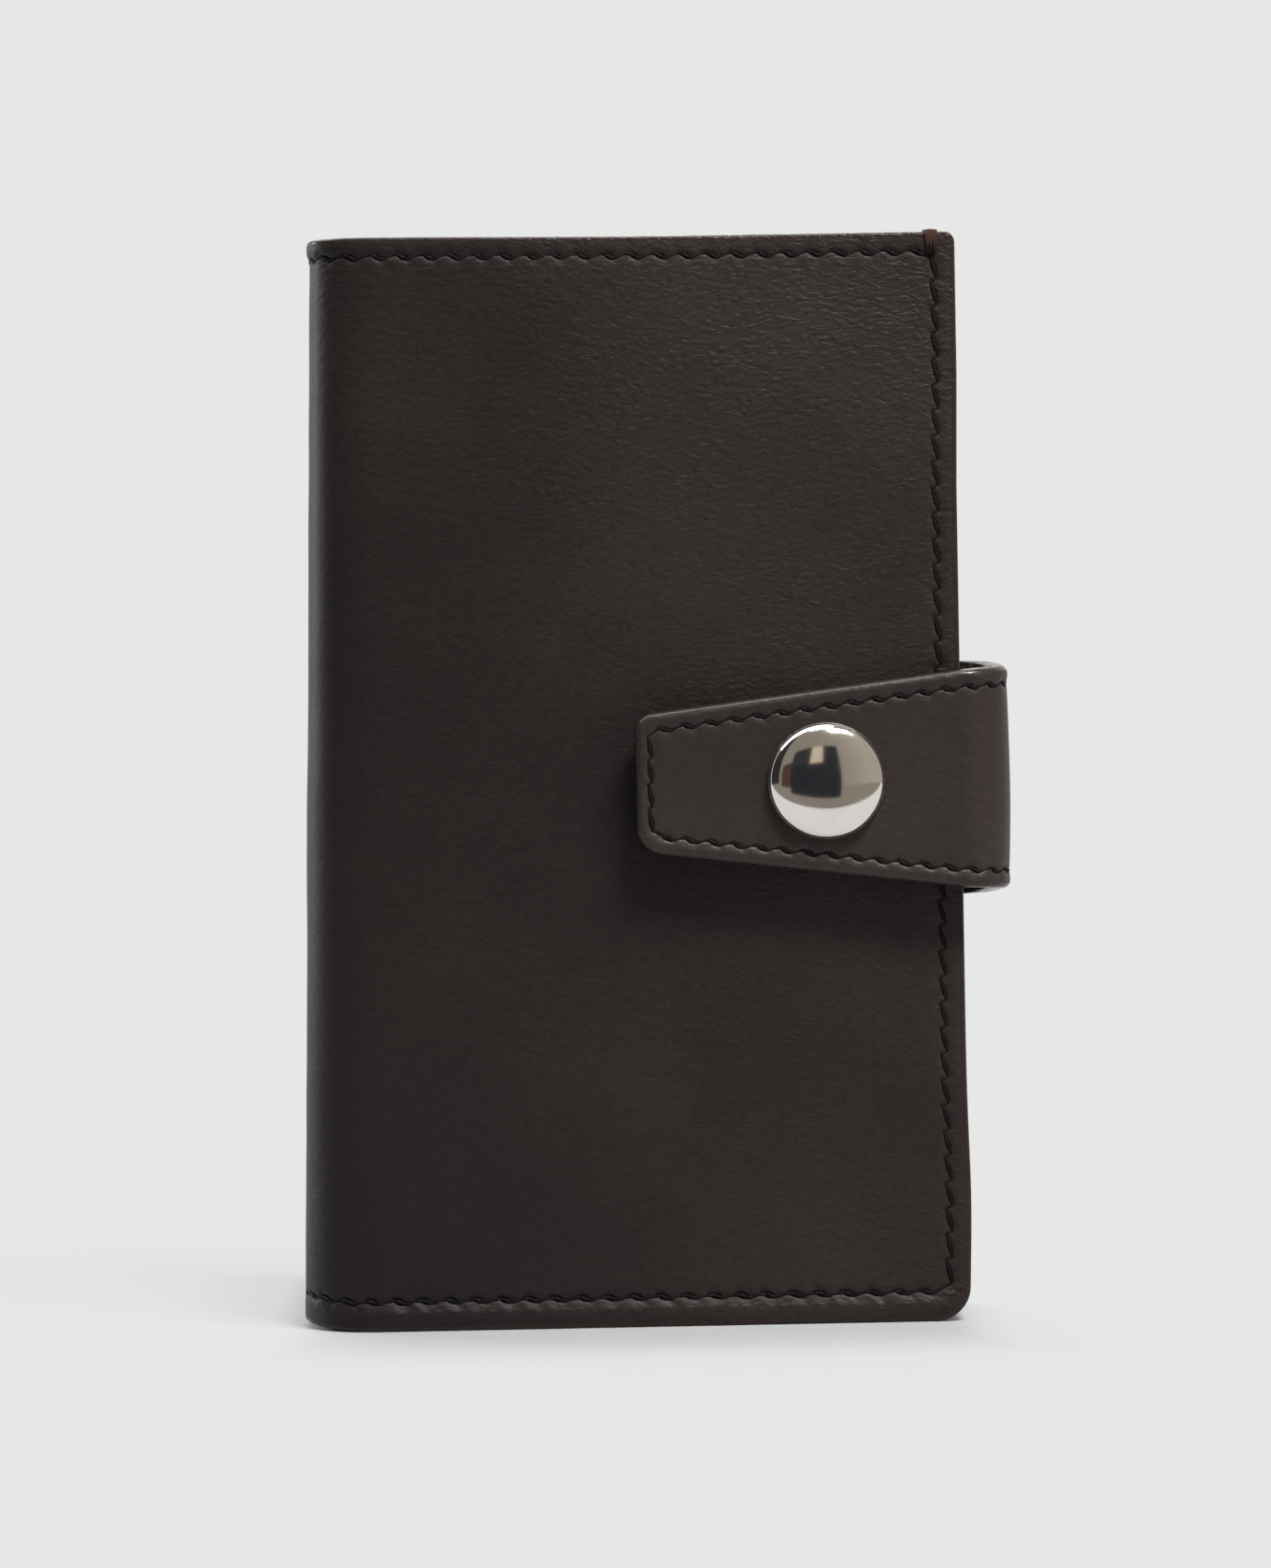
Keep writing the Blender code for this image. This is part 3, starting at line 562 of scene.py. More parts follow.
def cover_outline(start=0.0, top=HEIGHT, high_corner=TOP_CORNER, cut_start=False):
    """The outline of a cover piece: its low and high edge at u, and the distance inwards from a
    cut edge."""

    def low(u):
        return drawn_in(u - (COVER_LENGTH - BOTTOM_CORNER), BOTTOM_CORNER)

    def high(u):
        return top - drawn_in(u - (COVER_LENGTH - high_corner), high_corner)

    def inwards(u, v):
        near = np.minimum(np.minimum(v, top - v), COVER_LENGTH - u)
        if cut_start:
            near = np.minimum(near, u - start)
        for radius, rise in ((BOTTOM_CORNER, v), (high_corner, top - v)):
            to_centre = np.hypot(u - (COVER_LENGTH - radius), radius - rise)
            inside = (u > COVER_LENGTH - radius) & (rise < radius)
            near = np.where(inside, radius - to_centre, near)
        return np.maximum(near, 0.0)

    return low, high, inwards


def strap_outline(is_flap):
    """The outline of a strap piece, as for a cover piece. Its cut end has rounded corners."""
    end, way = (0.0, 1) if is_flap else (STRAP_LENGTH, -1)
    corners = dict(zip((-1, 1), TIP_CORNERS if is_flap else ROOT_CORNERS))

    def half(u, upper):
        return strap_half(u) - drawn_in(corners[upper] - way * (u - end), corners[upper])

    def low(u):
        return -half(u, -1)

    def high(u):
        return half(u, 1)

    def inwards(u, v):
        sideways = strap_half(u) - np.abs(v)
        reach = way * (u - end)
        near = np.minimum(sideways, reach)
        for upper, radius in corners.items():
            to_centre = np.hypot(radius - reach, radius - sideways)
            inside = (reach < radius) & (sideways < radius) & (v * upper > 0)
            near = np.where(inside, radius - to_centre, near)
        return np.maximum(near, 0.0)

    return low, high, inwards


def flat_grid(u_lines, low, high, rim, step):
    """A closed flat body of a pattern: its two faces on a grid, at Z 0 outside and 1 inside."""
    u = np.array(u_lines)
    offsets = np.array(rim_offsets(rim))
    margin = offsets[-1]
    span = float((high(u) - low(u)).max()) - 2 * margin
    shares = np.array(spread(0.0, 1.0, step / span))[1:-1]
    lowest, highest = low(u)[:, None], high(u)[:, None]
    middle = lowest + margin + (highest - lowest - 2 * margin) * shares[None, :]
    v = [lowest + offsets[None, :], middle, highest - offsets[None, ::-1]]
    v = np.concatenate(v, axis=1)
    shape = bmesh.new()
    count, across = v.shape
    outer, inner = (
        [[shape.verts.new((u[i], v[i, j], layer)) for j in range(across)] for i in range(count)]
        for layer in (0.0, 1.0)
    )
    for verts, turn in ((outer, 1), (inner, -1)):
        for i in range(count - 1):
            for j in range(across - 1):
                corners = [verts[i][j], verts[i + 1][j], verts[i + 1][j + 1], verts[i][j + 1]]
                shape.faces.new(corners[::turn])
    edge = [(i, 0) for i in range(count)]
    edge += [(count - 1, j) for j in range(1, across)]
    edge += [(i, across - 1) for i in range(count - 2, -1, -1)]
    edge += [(0, j) for j in range(across - 2, 0, -1)]
    for (i, j), (k, m) in zip(edge, edge[1:] + edge[:1]):
        shape.faces.new([outer[k][m], outer[i][j], inner[i][j], inner[k][m]])
    return shape


def refine(shape, near, levels, seen=0):
    """Split the seen faces whose middles are near the sewing, as often as asked."""
    for _ in range(levels):
        chosen = set()
        for face in shape.faces:
            middle = face.calc_center_median()
            if middle.z == seen and near(middle.x, middle.y):
                chosen.update(face.edges)
        bmesh.ops.subdivide_edges(shape, edges=list(chosen), cuts=1, use_grid_fill=True)


def to_mesh(name, shape):
    """The mesh of a bmesh, which is freed."""
    bmesh.ops.recalc_face_normals(shape, faces=shape.faces)
    mesh = bpy.data.meshes.new(name)
    shape.to_mesh(mesh)
    shape.free()
    return mesh


def finish_mesh(name, mesh, finish):
    """An object of a smooth mesh with the material of its finish, which is a material and a slot.
    """
    material, slot = finish
    mesh.materials.append(material)
    mesh.shade_smooth()
    mesh.set_sharp_from_angle(angle=math.radians(50))
    piece = bpy.data.objects.new(name, mesh)
    bpy.context.scene.collection.objects.link(piece)
    return piece


def store_vectors(mesh, name, values):
    attribute = mesh.attributes.new(name, "FLOAT_VECTOR", "POINT")
    attribute.data.foreach_set("vector", values.astype(np.float32).ravel())


def fix_normals(mesh):
    """Make a closed mesh's faces point outwards, also where the wrap turned it inside out."""
    shape = bmesh.new()
    shape.from_mesh(mesh)
    if shape.calc_volume(signed=True) < 0:
        bmesh.ops.reverse_faces(shape, faces=shape.faces)
    shape.to_mesh(mesh)
    shape.free()


def pattern_piece(
    name, wrap, outline, lines, step, depths, rim, relief, finish, refined=(), hollow=0.0, seen=0
):
    """Wrap a layer that is drawn flat on these lines, with its rims rounded.

    Its seen face, 0 outside or 1 inside, is split finer where asked and raised by its relief.
    """
    low, high, inwards = outline
    shape = flat_grid(clean_lines(lines), low, high, rim, step)
    for near, levels in refined:
        refine(shape, near, levels, seen)
    mesh = to_mesh(name, shape)
    co = np.empty(len(mesh.vertices) * 3)
    mesh.vertices.foreach_get("co", co)
    u, v, layer = co.reshape(-1, 3).T
    near = inwards(u, v)
    rounding = rim - np.sqrt(np.maximum(rim**2 - (rim - np.minimum(near, rim)) ** 2, 0.0))
    raised, slit = relief(u, v, near)
    outer_depth = depths[0] + rounding - (raised if seen == 0 else 0.0)
    hollow = hollow * np.clip((near - 1.6 * MM) / (0.4 * MM), 0.0, 1.0)
    inner_depth = depths[1] - rounding - hollow + (raised if seen == 1 else 0.0)
    depth = np.where(layer < 0.5, outer_depth, inner_depth)
    points, _ = wrap(u, v, depth)
    mesh.vertices.foreach_set("co", points.ravel())
    # Only the seen face keeps the painted shade of the sewing's slits, which the marks carry
    slit = np.where(np.abs(layer - seen) < 0.5, slit, 0.0)
    store_vectors(mesh, "pattern", np.stack([u, v, depth], axis=-1))
    store_vectors(mesh, "marks", np.stack([near, slit, layer], axis=-1))
    mesh.update()
    fix_normals(mesh)
    return finish_mesh(name, mesh, finish)


def stitch_places(start, end, pitch, slit, slant):
    """Corners of a zigzag of stitches. Each pair is a slit, and the thread lies between pairs."""
    start, end = np.array(start), np.array(end)
    length = np.linalg.norm(end - start)
    way = (end - start) / length
    across = np.array([-way[1], way[0]])
    count = round(length / pitch)
    step = length / count
    places = []
    for number in range(count):
        here = start + way * step * (number + 0.5 - slit / 2)
        places.append(here + across * slant)
        places.append(here + way * step * slit - across * slant)
    return places


def level_row(start, end, pitch, slant):
    return stitch_places(start, end, pitch, LEVEL_SLIT, slant)


def upright_row(start, end, pitch, slant):
    return stitch_places(start, end, pitch, UPRIGHT_SLIT, slant)


def cover_stitches():
    """The sewing of a cover: its top row, down the free edge and back along the bottom."""
    high, low = HEIGHT - TOP_ROW, BOTTOM_ROW
    side = COVER_LENGTH - SIDE_ROW
    turn = 0.3 * STITCH_PITCH
    top = level_row((0.0, high), (side - 0.6 * turn, high), STITCH_PITCH, LEVEL_SLANT)
    down = (side, high - 0.4 * turn), (side, low + turn)
    down = upright_row(*down, STITCH_PITCH, -UPRIGHT_SLANT)
    bottom = level_row((0.0, low), (side - turn, low), STITCH_PITCH, BOTTOM_SLANT)
    return top, down, bottom[::-1]


def seam_stitches(number):
    """The row that holds the panels down beside the spine."""
    u = SPINE_TURN + PANEL_STARTS[number] - HALF_THICKNESS + SEAM_FROM_START
    upper = PANEL_TOPS[number] - 1.0 * MM
    return upright_row((u, upper), (u, 1.5 * MM), STITCH_PITCH, -UPRIGHT_SLANT)


def along_strap_edge(side, places):
    """Places of a level row moved to run along the strap's upper (1) or lower (-1) edge."""
    return [np.array((u, side * (float(strap_half(u)) - STRAP_ROW) + v)) for u, v in places]


def strap_stitches():
    """The sewing of the strap from its middle round the tip, and from its middle round the root."""
    sewn = []
    for end, row in ((0.0, TIP_ROW), (STRAP_LENGTH, STRAP_ROW)):
        way = 1 if end == 0.0 else -1
        far = end + way * row
        half_far = float(strap_half(far)) - STRAP_ROW
        corner = 0.15 * STRAP_PITCH
        slant = way * STRAP_SLANT
        level = (far + way * corner, 0.0), (STRAP_MIDDLE, 0.0)
        level = level_row(*level, STRAP_PITCH, slant)
        across = (far, half_far - corner), (far, corner - half_far)
        across = upright_row(*across, STRAP_PITCH, -0.8 * slant)
        sewn.append((along_strap_edge(1, level)[::-1], across, along_strap_edge(-1, level)))
    return sewn


def stitch_runs(stitches):
    """The straight runs of a zigzag: their ends, and if the thread lies over, links or is sunk."""
    corners = [place for places in stitches for place in places]
    for number, (a, b) in enumerate(zip(corners, corners[1:])):
        upright = abs(b[1] - a[1]) > 1.2 * abs(b[0] - a[0])
        yield a, b, "over" if number % 2 == 0 else ("sunk" if upright else "link")


def pressed(stitches, bare=None, bold=False):
    """The relief that sewing presses into leather: the thread's bed, a soft groove and puckers,
    with the painted shade that darkens its slits.

    Where bare says so, there is no sewing. Unless bold, upright slits are finer, with a pinch
    between them.
    """
    runs = list(stitch_runs(stitches))

    def relief(u, v, near):
        deep = np.zeros_like(u)
        slit = np.zeros_like(u)
        chosen = np.nonzero(near < SEWN_WITHIN)[0]
        points = np.stack([u[chosen], v[chosen]], axis=-1)
        bed, soft, dark = np.zeros((3, len(chosen)))
        for a, b, kind in runs:
            middle, way = (a + b) / 2, b - a
            close = np.nonzero(np.abs(points - middle).max(axis=1) < STITCH_REACH)[0]
            if not len(close):
                continue
            share = np.clip((points[close] - a) @ way / (way @ way), 0.0, 1.0)
            gap = np.linalg.norm(points[close] - a - share[:, None] * way, axis=1)
            broad = hump(gap, 0.0, GROOVE_WIDTH)
            if kind == "over":
                fine = not bold and abs(way[1]) > abs(way[0])
                swell = np.sin(math.pi * share**SWELL_LATE)
                width = SLIT_WIDTH * (0.45 + 0.6 * swell) * (FINE_SLIT if fine else 1.0)
                cut = SLIT_DEPTH * (0.35 + 0.65 * swell) * hump(gap, 0.0, width)
                # Painted shade in the slit, fullest at its middle and least at its ends
                least = 0.0 if fine else LEAST_SHADE
                shade = (least + (1 - least) * swell) * hump(gap, 0.0, 0.9 * width)
                dark[close] = np.maximum(dark[close], shade)
                groove = GROOVE_DEPTH * (FINE_GROOVE if fine else 1.0) * broad
            else:
                cut = (LINK_DEPTH if kind == "link" else 0.0) * hump(gap, 0.0, LINK_WIDTH)
                groove = GROOVE_RISE * GROOVE_DEPTH * broad
            bed[close] = np.maximum(bed[close], cut)
            soft[close] = np.maximum(soft[close], groove)
            if kind == "sunk" and not bold:
                reach = (points[close] - middle) / np.array(PINCH_SIZE)
                soft[close] += PINCH_DEPTH * np.exp(-(reach**2).sum(axis=1))
        keep = 1 if bare is None else 1 - bare(u[chosen], v[chosen])
        deep[chosen], slit[chosen] = (bed + soft) * keep, dark * keep
        return deep, slit

    return relief


def cover_relief(side, seed):
    """The relief of a cover's face: soft hills, a crease along the rim and the pressed sewing.

    Below its bottom row the leather swells and is drawn into small pulls.
    """
    root_half = float(strap_half(STRAP_LENGTH))

    def bare(u, v):
        if side < 0:
            return np.zeros_like(u)
        beside = np.abs(v - STRAP_Z)
        share = np.clip((root_half + 1.2 * MM - beside) / (0.6 * MM), 0.0, 1.0)
        return share * (u > COVER_LENGTH - 10 * MM)

    sewn = pressed(cover_stitches(), bare)

    def relief(u, v, near):
        deep, slit = sewn(u, v, near)
        hills = 0.16 * MM * rolling(u, v, 21 * MM, seed)
        hills += 0.06 * MM * rolling(u, v, 7 * MM, seed + 3.1)
        if side > 0:
            hills *= 0.4
        raised = hills * np.clip(near / (5 * MM), 0.0, 1.0)
        deep = deep * (1 + BOTTOM_PULL * (v < 2 * BOTTOM_ROW))
        away = smooth(u, 0.3 * SPINE_TURN, 1.2 * SPINE_TURN)
        low_pillow = 0.38 * MM * away * hump(near, 1.6 * MM, 1.0 * MM)
        pillow = 0.06 * MM * hump(near, 1.3 * MM, 0.8 * MM)
        pillow = np.where(v < BOTTOM_ROW, low_pillow, pillow)
        crease = -0.035 * MM * hump(near, 0.6 * MM, 0.12 * MM)
        pulls = 0.09 * MM * rolling(u + 0.9 * v, 0.25 * v, 0.9 * MM, seed + 5.7)
        pulls = pulls * (1 - smooth(v, 0.8 * BOTTOM_ROW, 1.5 * BOTTOM_ROW))
        pulls = pulls * np.clip(near / (0.8 * MM), 0.0, 1.0)
        return raised + pillow + crease + pulls - deep, slit

    return relief


def inner_relief(stitches, mouth=None):
    """The relief of an inner face: the pressed sewing and a line pressed below its mouth."""
    sewn = pressed(stitches)

    def relief(u, v, near):
        deep, slit = sewn(u, v, near)
        line = 0.0 if mouth is None else 0.07 * MM * hump(mouth - v, MOUTH_LINE, 0.16 * MM)
        return -INNER_PULL * deep - line, slit

    return relief


def strap_relief(stitches, seed):
    """The relief of the strap's face: soft hills, rolled rims and the pressed sewing."""
    sewn = pressed(stitches, bold=True)

    def relief(u, v, near):
        deep, slit = sewn(u, v, near)
        hills = 0.05 * MM * rolling(u, v, 9 * MM, seed) * np.clip(near / (3 * MM), 0.0, 1.0)
        rolled = np.where(v > 0, 0.17 * MM, 0.1 * MM) * hump(near, 0.95 * MM, 0.7 * MM)
        return hills + rolled - deep, slit

    return relief


def no_relief(u, v, near):
    return np.zeros_like(u), np.zeros_like(u)


def near_cover_rows(band):
    """Whether a place on a cover is within the band along its sewing."""
    side_row = COVER_LENGTH - SIDE_ROW

    def near_rows(u, v):
        level = min(abs(v - BOTTOM_ROW), abs(v - (HEIGHT - TOP_ROW))) < band
        return (level and u < side_row + band) or (abs(u - side_row) < band)

    return near_rows


def cover_lines(spine_step, step, rim, corner_step):
    """Grid lines of a whole cover, closer round the spine, at the rim and at the free corners."""
    lines = spread(0.0, SPINE_TURN, spine_step)
    lines += spread(SPINE_TURN, COVER_LENGTH - BOTTOM_CORNER, step)
    insets = rim_offsets(rim)
    for radius in (BOTTOM_CORNER, TOP_CORNER):
        insets += corner_insets(radius, corner_step)
    return lines + [COVER_LENGTH - inset for inset in insets]


def bend_at_fold(piece):
    """Bake a piece's placement into its mesh."""
    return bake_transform(piece)


def cover_sheets(word, side, finishes, stitches):
    """The outer leather and the lining of a cover with its half of the spine, as two sheets."""
    wrap, outline = partial(wrap_cover, side), cover_outline()
    lines = cover_lines(0.5 * MM, 0.8 * MM, SKIN_RIM, 9) + [0.1 * MM, 0.25 * MM]
    skin = pattern_piece(
        word + "_cover_skin", wrap, outline, lines, 0.8 * MM, SKIN, SKIN_RIM,
        cover_relief(side, 2.0 + side), finishes["cover"], [(near_cover_rows(1.25 * MM), 2)],
        SKIN_INNER_HOLLOW,
    )
    rim = 0.4 * (LINING[1] - LINING[0])
    lines = cover_lines(0.6 * MM, 1.2 * MM, rim, 15)
    lining = pattern_piece(
        word + "_cover_lining", wrap, outline, lines, 1.2 * MM, LINING, rim,
        inner_relief(stitches), finishes["lining"], [(near_cover_rows(0.9 * MM), 2)], seen=1,
    )
    return bend_at_fold(skin), bend_at_fold(lining)


def pocket_panel(name, side, body, number, finish, stitches):
    """One of the stepped panels inside a cover."""
    depths, top = PANEL_DEPTHS[number], PANEL_TOPS[number]
    start = SPINE_TURN + PANEL_STARTS[number] - HALF_THICKNESS
    rim = 0.42 * (depths[1] - depths[0])
    insets = rim_offsets(rim) + corner_insets(BOTTOM_CORNER, 15)
    lines = spread(start, COVER_LENGTH - BOTTOM_CORNER, 0.9 * MM)
    lines += [COVER_LENGTH - inset for inset in insets]
    lines += [start + offset for offset in rim_offsets(rim)]
    covered = PANEL_TOPS[number + 1] if number + 1 < len(PANEL_TOPS) else 0.0
    near_rows = near_cover_rows(0.9 * MM)
    seam = SEAM_FROM_START + start

    def near_shown_rows(u, v):
        return v > covered - 1 * MM and (near_rows(u, v) or abs(u - seam) < 0.9 * MM)

    def near_mouth(u, v):
        return abs(top - MOUTH_LINE - v) < 0.5 * MM

    panel = pattern_piece(
        name, partial(wrap_cover, side), cover_outline(start, top, 0.0, True), lines, 0.9 * MM,
        depths, rim, inner_relief(stitches, top), finish,
        [(near_shown_rows, 2), (near_mouth, 1)], seen=1,
    )
    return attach(panel, body)


def spine_board(name, side, finish):
    """Half of the board strip behind the spine's leather."""
    end = 0.5 * SPINE_TURN
    lowest, highest = BOARD_INSET, HEIGHT - BOARD_INSET

    def inwards(u, v):
        return np.maximum(np.minimum(np.minimum(v - lowest, highest - v), end - u), 0.0)

    outline = (lambda u: lowest + 0 * u, lambda u: highest + 0 * u, inwards)
    piece = pattern_piece(
        name, partial(wrap_cover, side), outline, spread(0.0, end, 0.6 * MM), 3 * MM,
        BOARD, BOARD_RIM, no_relief, finish,
    )
    return bend_at_fold(piece)


def strap_lines(rim, step, is_flap):
    """Grid lines of a strap piece, closer in the bends, at the rim and at its rounded corners."""
    start, end = (0.0, STRAP_MIDDLE) if is_flap else (STRAP_MIDDLE, STRAP_LENGTH)
    lines = spread(start, end, step)
    for bend in (FLAP_LENGTH, BACK_BEND_START):
        lines += [bend + STRAP_BEND * math.radians(angle) for angle in range(0, 91, 6)]
    insets = rim_offsets(rim)
    for radius in TIP_CORNERS if is_flap else ROOT_CORNERS:
        insets += corner_insets(radius, 10)
    lines += insets if is_flap else [STRAP_LENGTH - inset for inset in insets]
    return [line for line in lines if start <= line <= end]


def bend_strap(piece, is_flap):
    """Bake a piece of the strap's placement into its mesh, alike at the front and at the back."""
    if is_flap:
        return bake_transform(piece)
    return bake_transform(piece)


def strap_piece(name, is_flap, depths, rim, step, relief, finish):
    """One layer of the strap, from its middle to its tip or to its root."""

    def near_rows(u, v):
        level = abs(strap_half(u) - STRAP_ROW - abs(v)) < 1.15 * MM
        ends = abs(u - TIP_ROW) if is_flap else abs(STRAP_LENGTH - STRAP_ROW - u)
        return level or ends < 1.15 * MM

    refined = [] if relief is no_relief else [(near_rows, 2)]
    lines = strap_lines(rim, step, is_flap)
    outline = strap_outline(is_flap)
    piece = pattern_piece(
        name, wrap_strap, outline, lines, step, depths, rim, relief, finish, refined
    )
    return bend_strap(piece, is_flap)


def twisted(points, outs, radii, plies, around=12):
    """Rings of a twisted thread along points, with the ways out there, and its pattern places."""
    points = np.array(points)
    ahead = np.gradient(points, axis=0)
    ahead /= np.linalg.norm(ahead, axis=1)[:, None]
    side = np.cross(outs, ahead)
    side /= np.linalg.norm(side, axis=1)[:, None]
    up = np.cross(ahead, side)
    steps = np.linalg.norm(np.diff(points, axis=0), axis=1)
    run = np.concatenate([[0.0], np.cumsum(steps)])
    angle = np.linspace(0, math.tau, around, endpoint=False)
    turned = math.tau * run[:, None] / (plies * PLY_TWIST)
    lobes = 1 + PLY_LOBE * np.cos(plies * (angle[None, :] - turned))
    radius = np.array(radii)[:, None] * lobes
    ring = (
        points[:, None, :]
        + (radius * np.cos(angle))[..., None] * side[:, None, :]
        + (radius * np.sin(angle))[..., None] * up[:, None, :]
    )
    places = np.broadcast_arrays(run[:, None], (angle * THREAD_RADIUS)[None, :], 0.0)
    return ring, np.stack(places, axis=-1).reshape(-1, 3)


def thread_piece(name, parts, finish):
    """One object of several threads, each a closed tube given as rings and pattern places."""
    faces, start = [], 0
    for rings, _ in parts:
        count, around, _ = rings.shape
        spots = np.arange(start, start + count * around).reshape(count, around)
        beside = np.roll(spots, -1, axis=1)
        walls = np.stack([spots[:-1], beside[:-1], beside[1:], spots[1:]], axis=-1)
        faces += walls.reshape(-1, 4).tolist() + [spots[0, ::-1].tolist(), spots[-1].tolist()]
        start += count * around
    verts = np.concatenate([rings.reshape(-1, 3) for rings, _ in parts])
    mesh = bpy.data.meshes.new(name)
    mesh.from_pydata(verts.tolist(), [], faces)
    mesh.update()
    store_vectors(mesh, "pattern", np.concatenate([places for _, places in parts]))
    fix_normals(mesh)
    return finish_mesh(name, mesh, finish)


def sewing_thread(stitches, wrap, face=None):
    """Threads through zigzags of stitches, fullest in the middle of each stitch.

    One lies on the outermost face. On the inner face, whose depths face gives, each step ends one.
    """
    u, v, depth, radii = [], [], [], []
    for a, b, kind in stitch_runs(stitches):
        steps = 8 if kind == "over" else 6
        for step in range(steps):
            share = step / steps
            swell = math.sin(math.pi * share**SWELL_LATE)
            place = a + (b - a) * share
            u.append(place[0])
            v.append(place[1])
            depth.append(THREAD_DEPTH + THREAD_SINK[kind] * swell)
            fullness = (1 - LINK_RADIUS) * swell if kind == "over" else 0.0
            radii.append(THREAD_RADIUS * (LINK_RADIUS + fullness))
    u, v, depth, radii = np.array([u, v, depth, radii])
    if face is None:
        return [twisted(*wrap(u, v, depth), radii, THREAD_PLIES)]
    level = face(u, v)
    cuts = [0, *(np.nonzero(np.abs(np.diff(level)) > 0)[0] + 1), len(level)]
    threads = []
    for first, last in zip(cuts, cuts[1:]):
        if last - first > 3:
            part = slice(first, last)
            inner = level[part] + INNER_LIFT - INNER_PULL * depth[part]
            threads.append(twisted(*wrap(u[part], v[part], inner), radii[part], THREAD_PLIES))
    return threads


def inner_face(u, v):
    """The depth of the innermost layer of a cover at a place on its pattern."""
    depth = np.full_like(u, LINING[1])
    for (_, inner), top, first in zip(PANEL_DEPTHS, PANEL_TOPS, PANEL_STARTS):
        on_panel = (v < top) & (u > SPINE_TURN + first - HALF_THICKNESS)
        depth = np.where(on_panel, inner, depth)
    return depth


def bar_tack(name, side, body, finish, ends_finish):
    """Close turns of thread over the top edge of a cover, beside its free corner."""
    middle = COVER_LENGTH - TACK_FROM_EDGE - TACK_WIDTH / 2
    radius = 0.5 * TACK_WIDTH / TACK_TURNS
    low = HEIGHT - TACK_LENGTH
    bend = LINING[1] / 2
    parts = []
    for number in range(TACK_TURNS):
        share = (number + 0.5) / TACK_TURNS * 2 - 1
        crown = HEIGHT + (0.62 - 0.35 * share**2) * radius * 2
        outline = [(0.3 * MM, low), (-0.1 * MM, low + 0.2 * MM), (-0.24 * MM, HEIGHT - 0.5 * MM)]
        for angle in range(15, 180, 15):
            turn = math.radians(angle)
            rise = (crown - HEIGHT + 0.4 * MM) * math.sin(turn) ** 0.4
            outline.append((bend - (bend + 0.22 * MM) * math.cos(turn), HEIGHT - 0.4 * MM + rise))
        outline += [(LINING[1] + 0.1 * MM, low + 0.4 * MM), (LINING[1] - 0.3 * MM, low)]
        depth, z = np.array(outline).T
        spread_out = 0.62 + 0.38 * np.clip((z - low) / TACK_LENGTH, 0.0, 1.0) ** 2
        u = middle + share * TACK_WIDTH / 2 * spread_out
        points, _ = wrap_cover(side, u, z, depth)
        outs = np.tile(np.array([1.0, 0.0, 0.0]), (len(outline), 1))
        parts.append(twisted(points, outs, 1.12 * radius * spread_out, 2))
    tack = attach(thread_piece(name, parts, finish), body)
    parts = []
    for share in (-0.45, 0.0, 0.45):
        z = np.linspace(low - 0.5 * MM, HEIGHT - 0.95 * MM, 9)
        depth = 0.1 * MM - 0.42 * MM * np.sin(math.pi * np.linspace(0.0, 1.0, 9)) ** 0.6
        u = np.full(9, middle + 0.5 * share * TACK_WIDTH)
        points, outs = wrap_cover(side, u, z, depth)
        parts.append(twisted(points, outs, np.full(9, THREAD_RADIUS), THREAD_PLIES))
    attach(thread_piece(name + "_ends", parts, ends_finish), body)
    return tack


def snap_cap(finish):
    """The polished cap: a low dome whose rim is rolled under, on its post."""
    radius = (CAP_HIGH.x - CAP_LOW.x) / 2
    top, post_end = CAP_LOW.y, CAP_HIGH.y
    under = top + CAP_DEPTH
    dome_radius = radius - DOME_INSET
    profile = []
    for step in range(37):
        r = dome_radius * math.sin(math.radians(90) * step / 36)
        rise = DOME_RISE * (1 - (r / dome_radius) ** DOME_POWERS[0]) ** DOME_POWERS[1]
        profile.append((r, top + DOME_RISE - rise))
    width, depth = CURL_SIZE
    for angle in range(-60, 91, 15):
        turn = math.radians(angle)
        r = radius - width + width * math.cos(turn)
        profile.append((r, top + CURL_DEPTH + depth * math.sin(turn)))
    profile += [(radius - UNDER_INSET, under), (POST_RADIUS, under)]
    profile += [(POST_RADIUS, post_end), (0.0, post_end)]
    shape = bmesh.new()
    points = [shape.verts.new((SNAP_X + r, y, STRAP_Z)) for r, y in profile]
    edges = [shape.edges.new(pair) for pair in zip(points, points[1:])]
    bmesh.ops.spin(
        shape,
        geom=points + edges,
        cent=(SNAP_X, 0.0, STRAP_Z),
        axis=(0.0, 1.0, 0.0),
        angle=math.tau,
        steps=128,
        use_merge=True,
    )
    bmesh.ops.remove_doubles(shape, verts=shape.verts, dist=0.0005 * MM)
    name = "polished_snap_cap"
    return finish_mesh(name, to_mesh(name, shape), finish)


def set_material(names, material):
    """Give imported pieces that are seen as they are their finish."""
    for name in names:
        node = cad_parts[name]
        node.data.materials.clear()
        node.data.materials.append(material)
        for face in node.data.polygons:
            face.material_index = 0


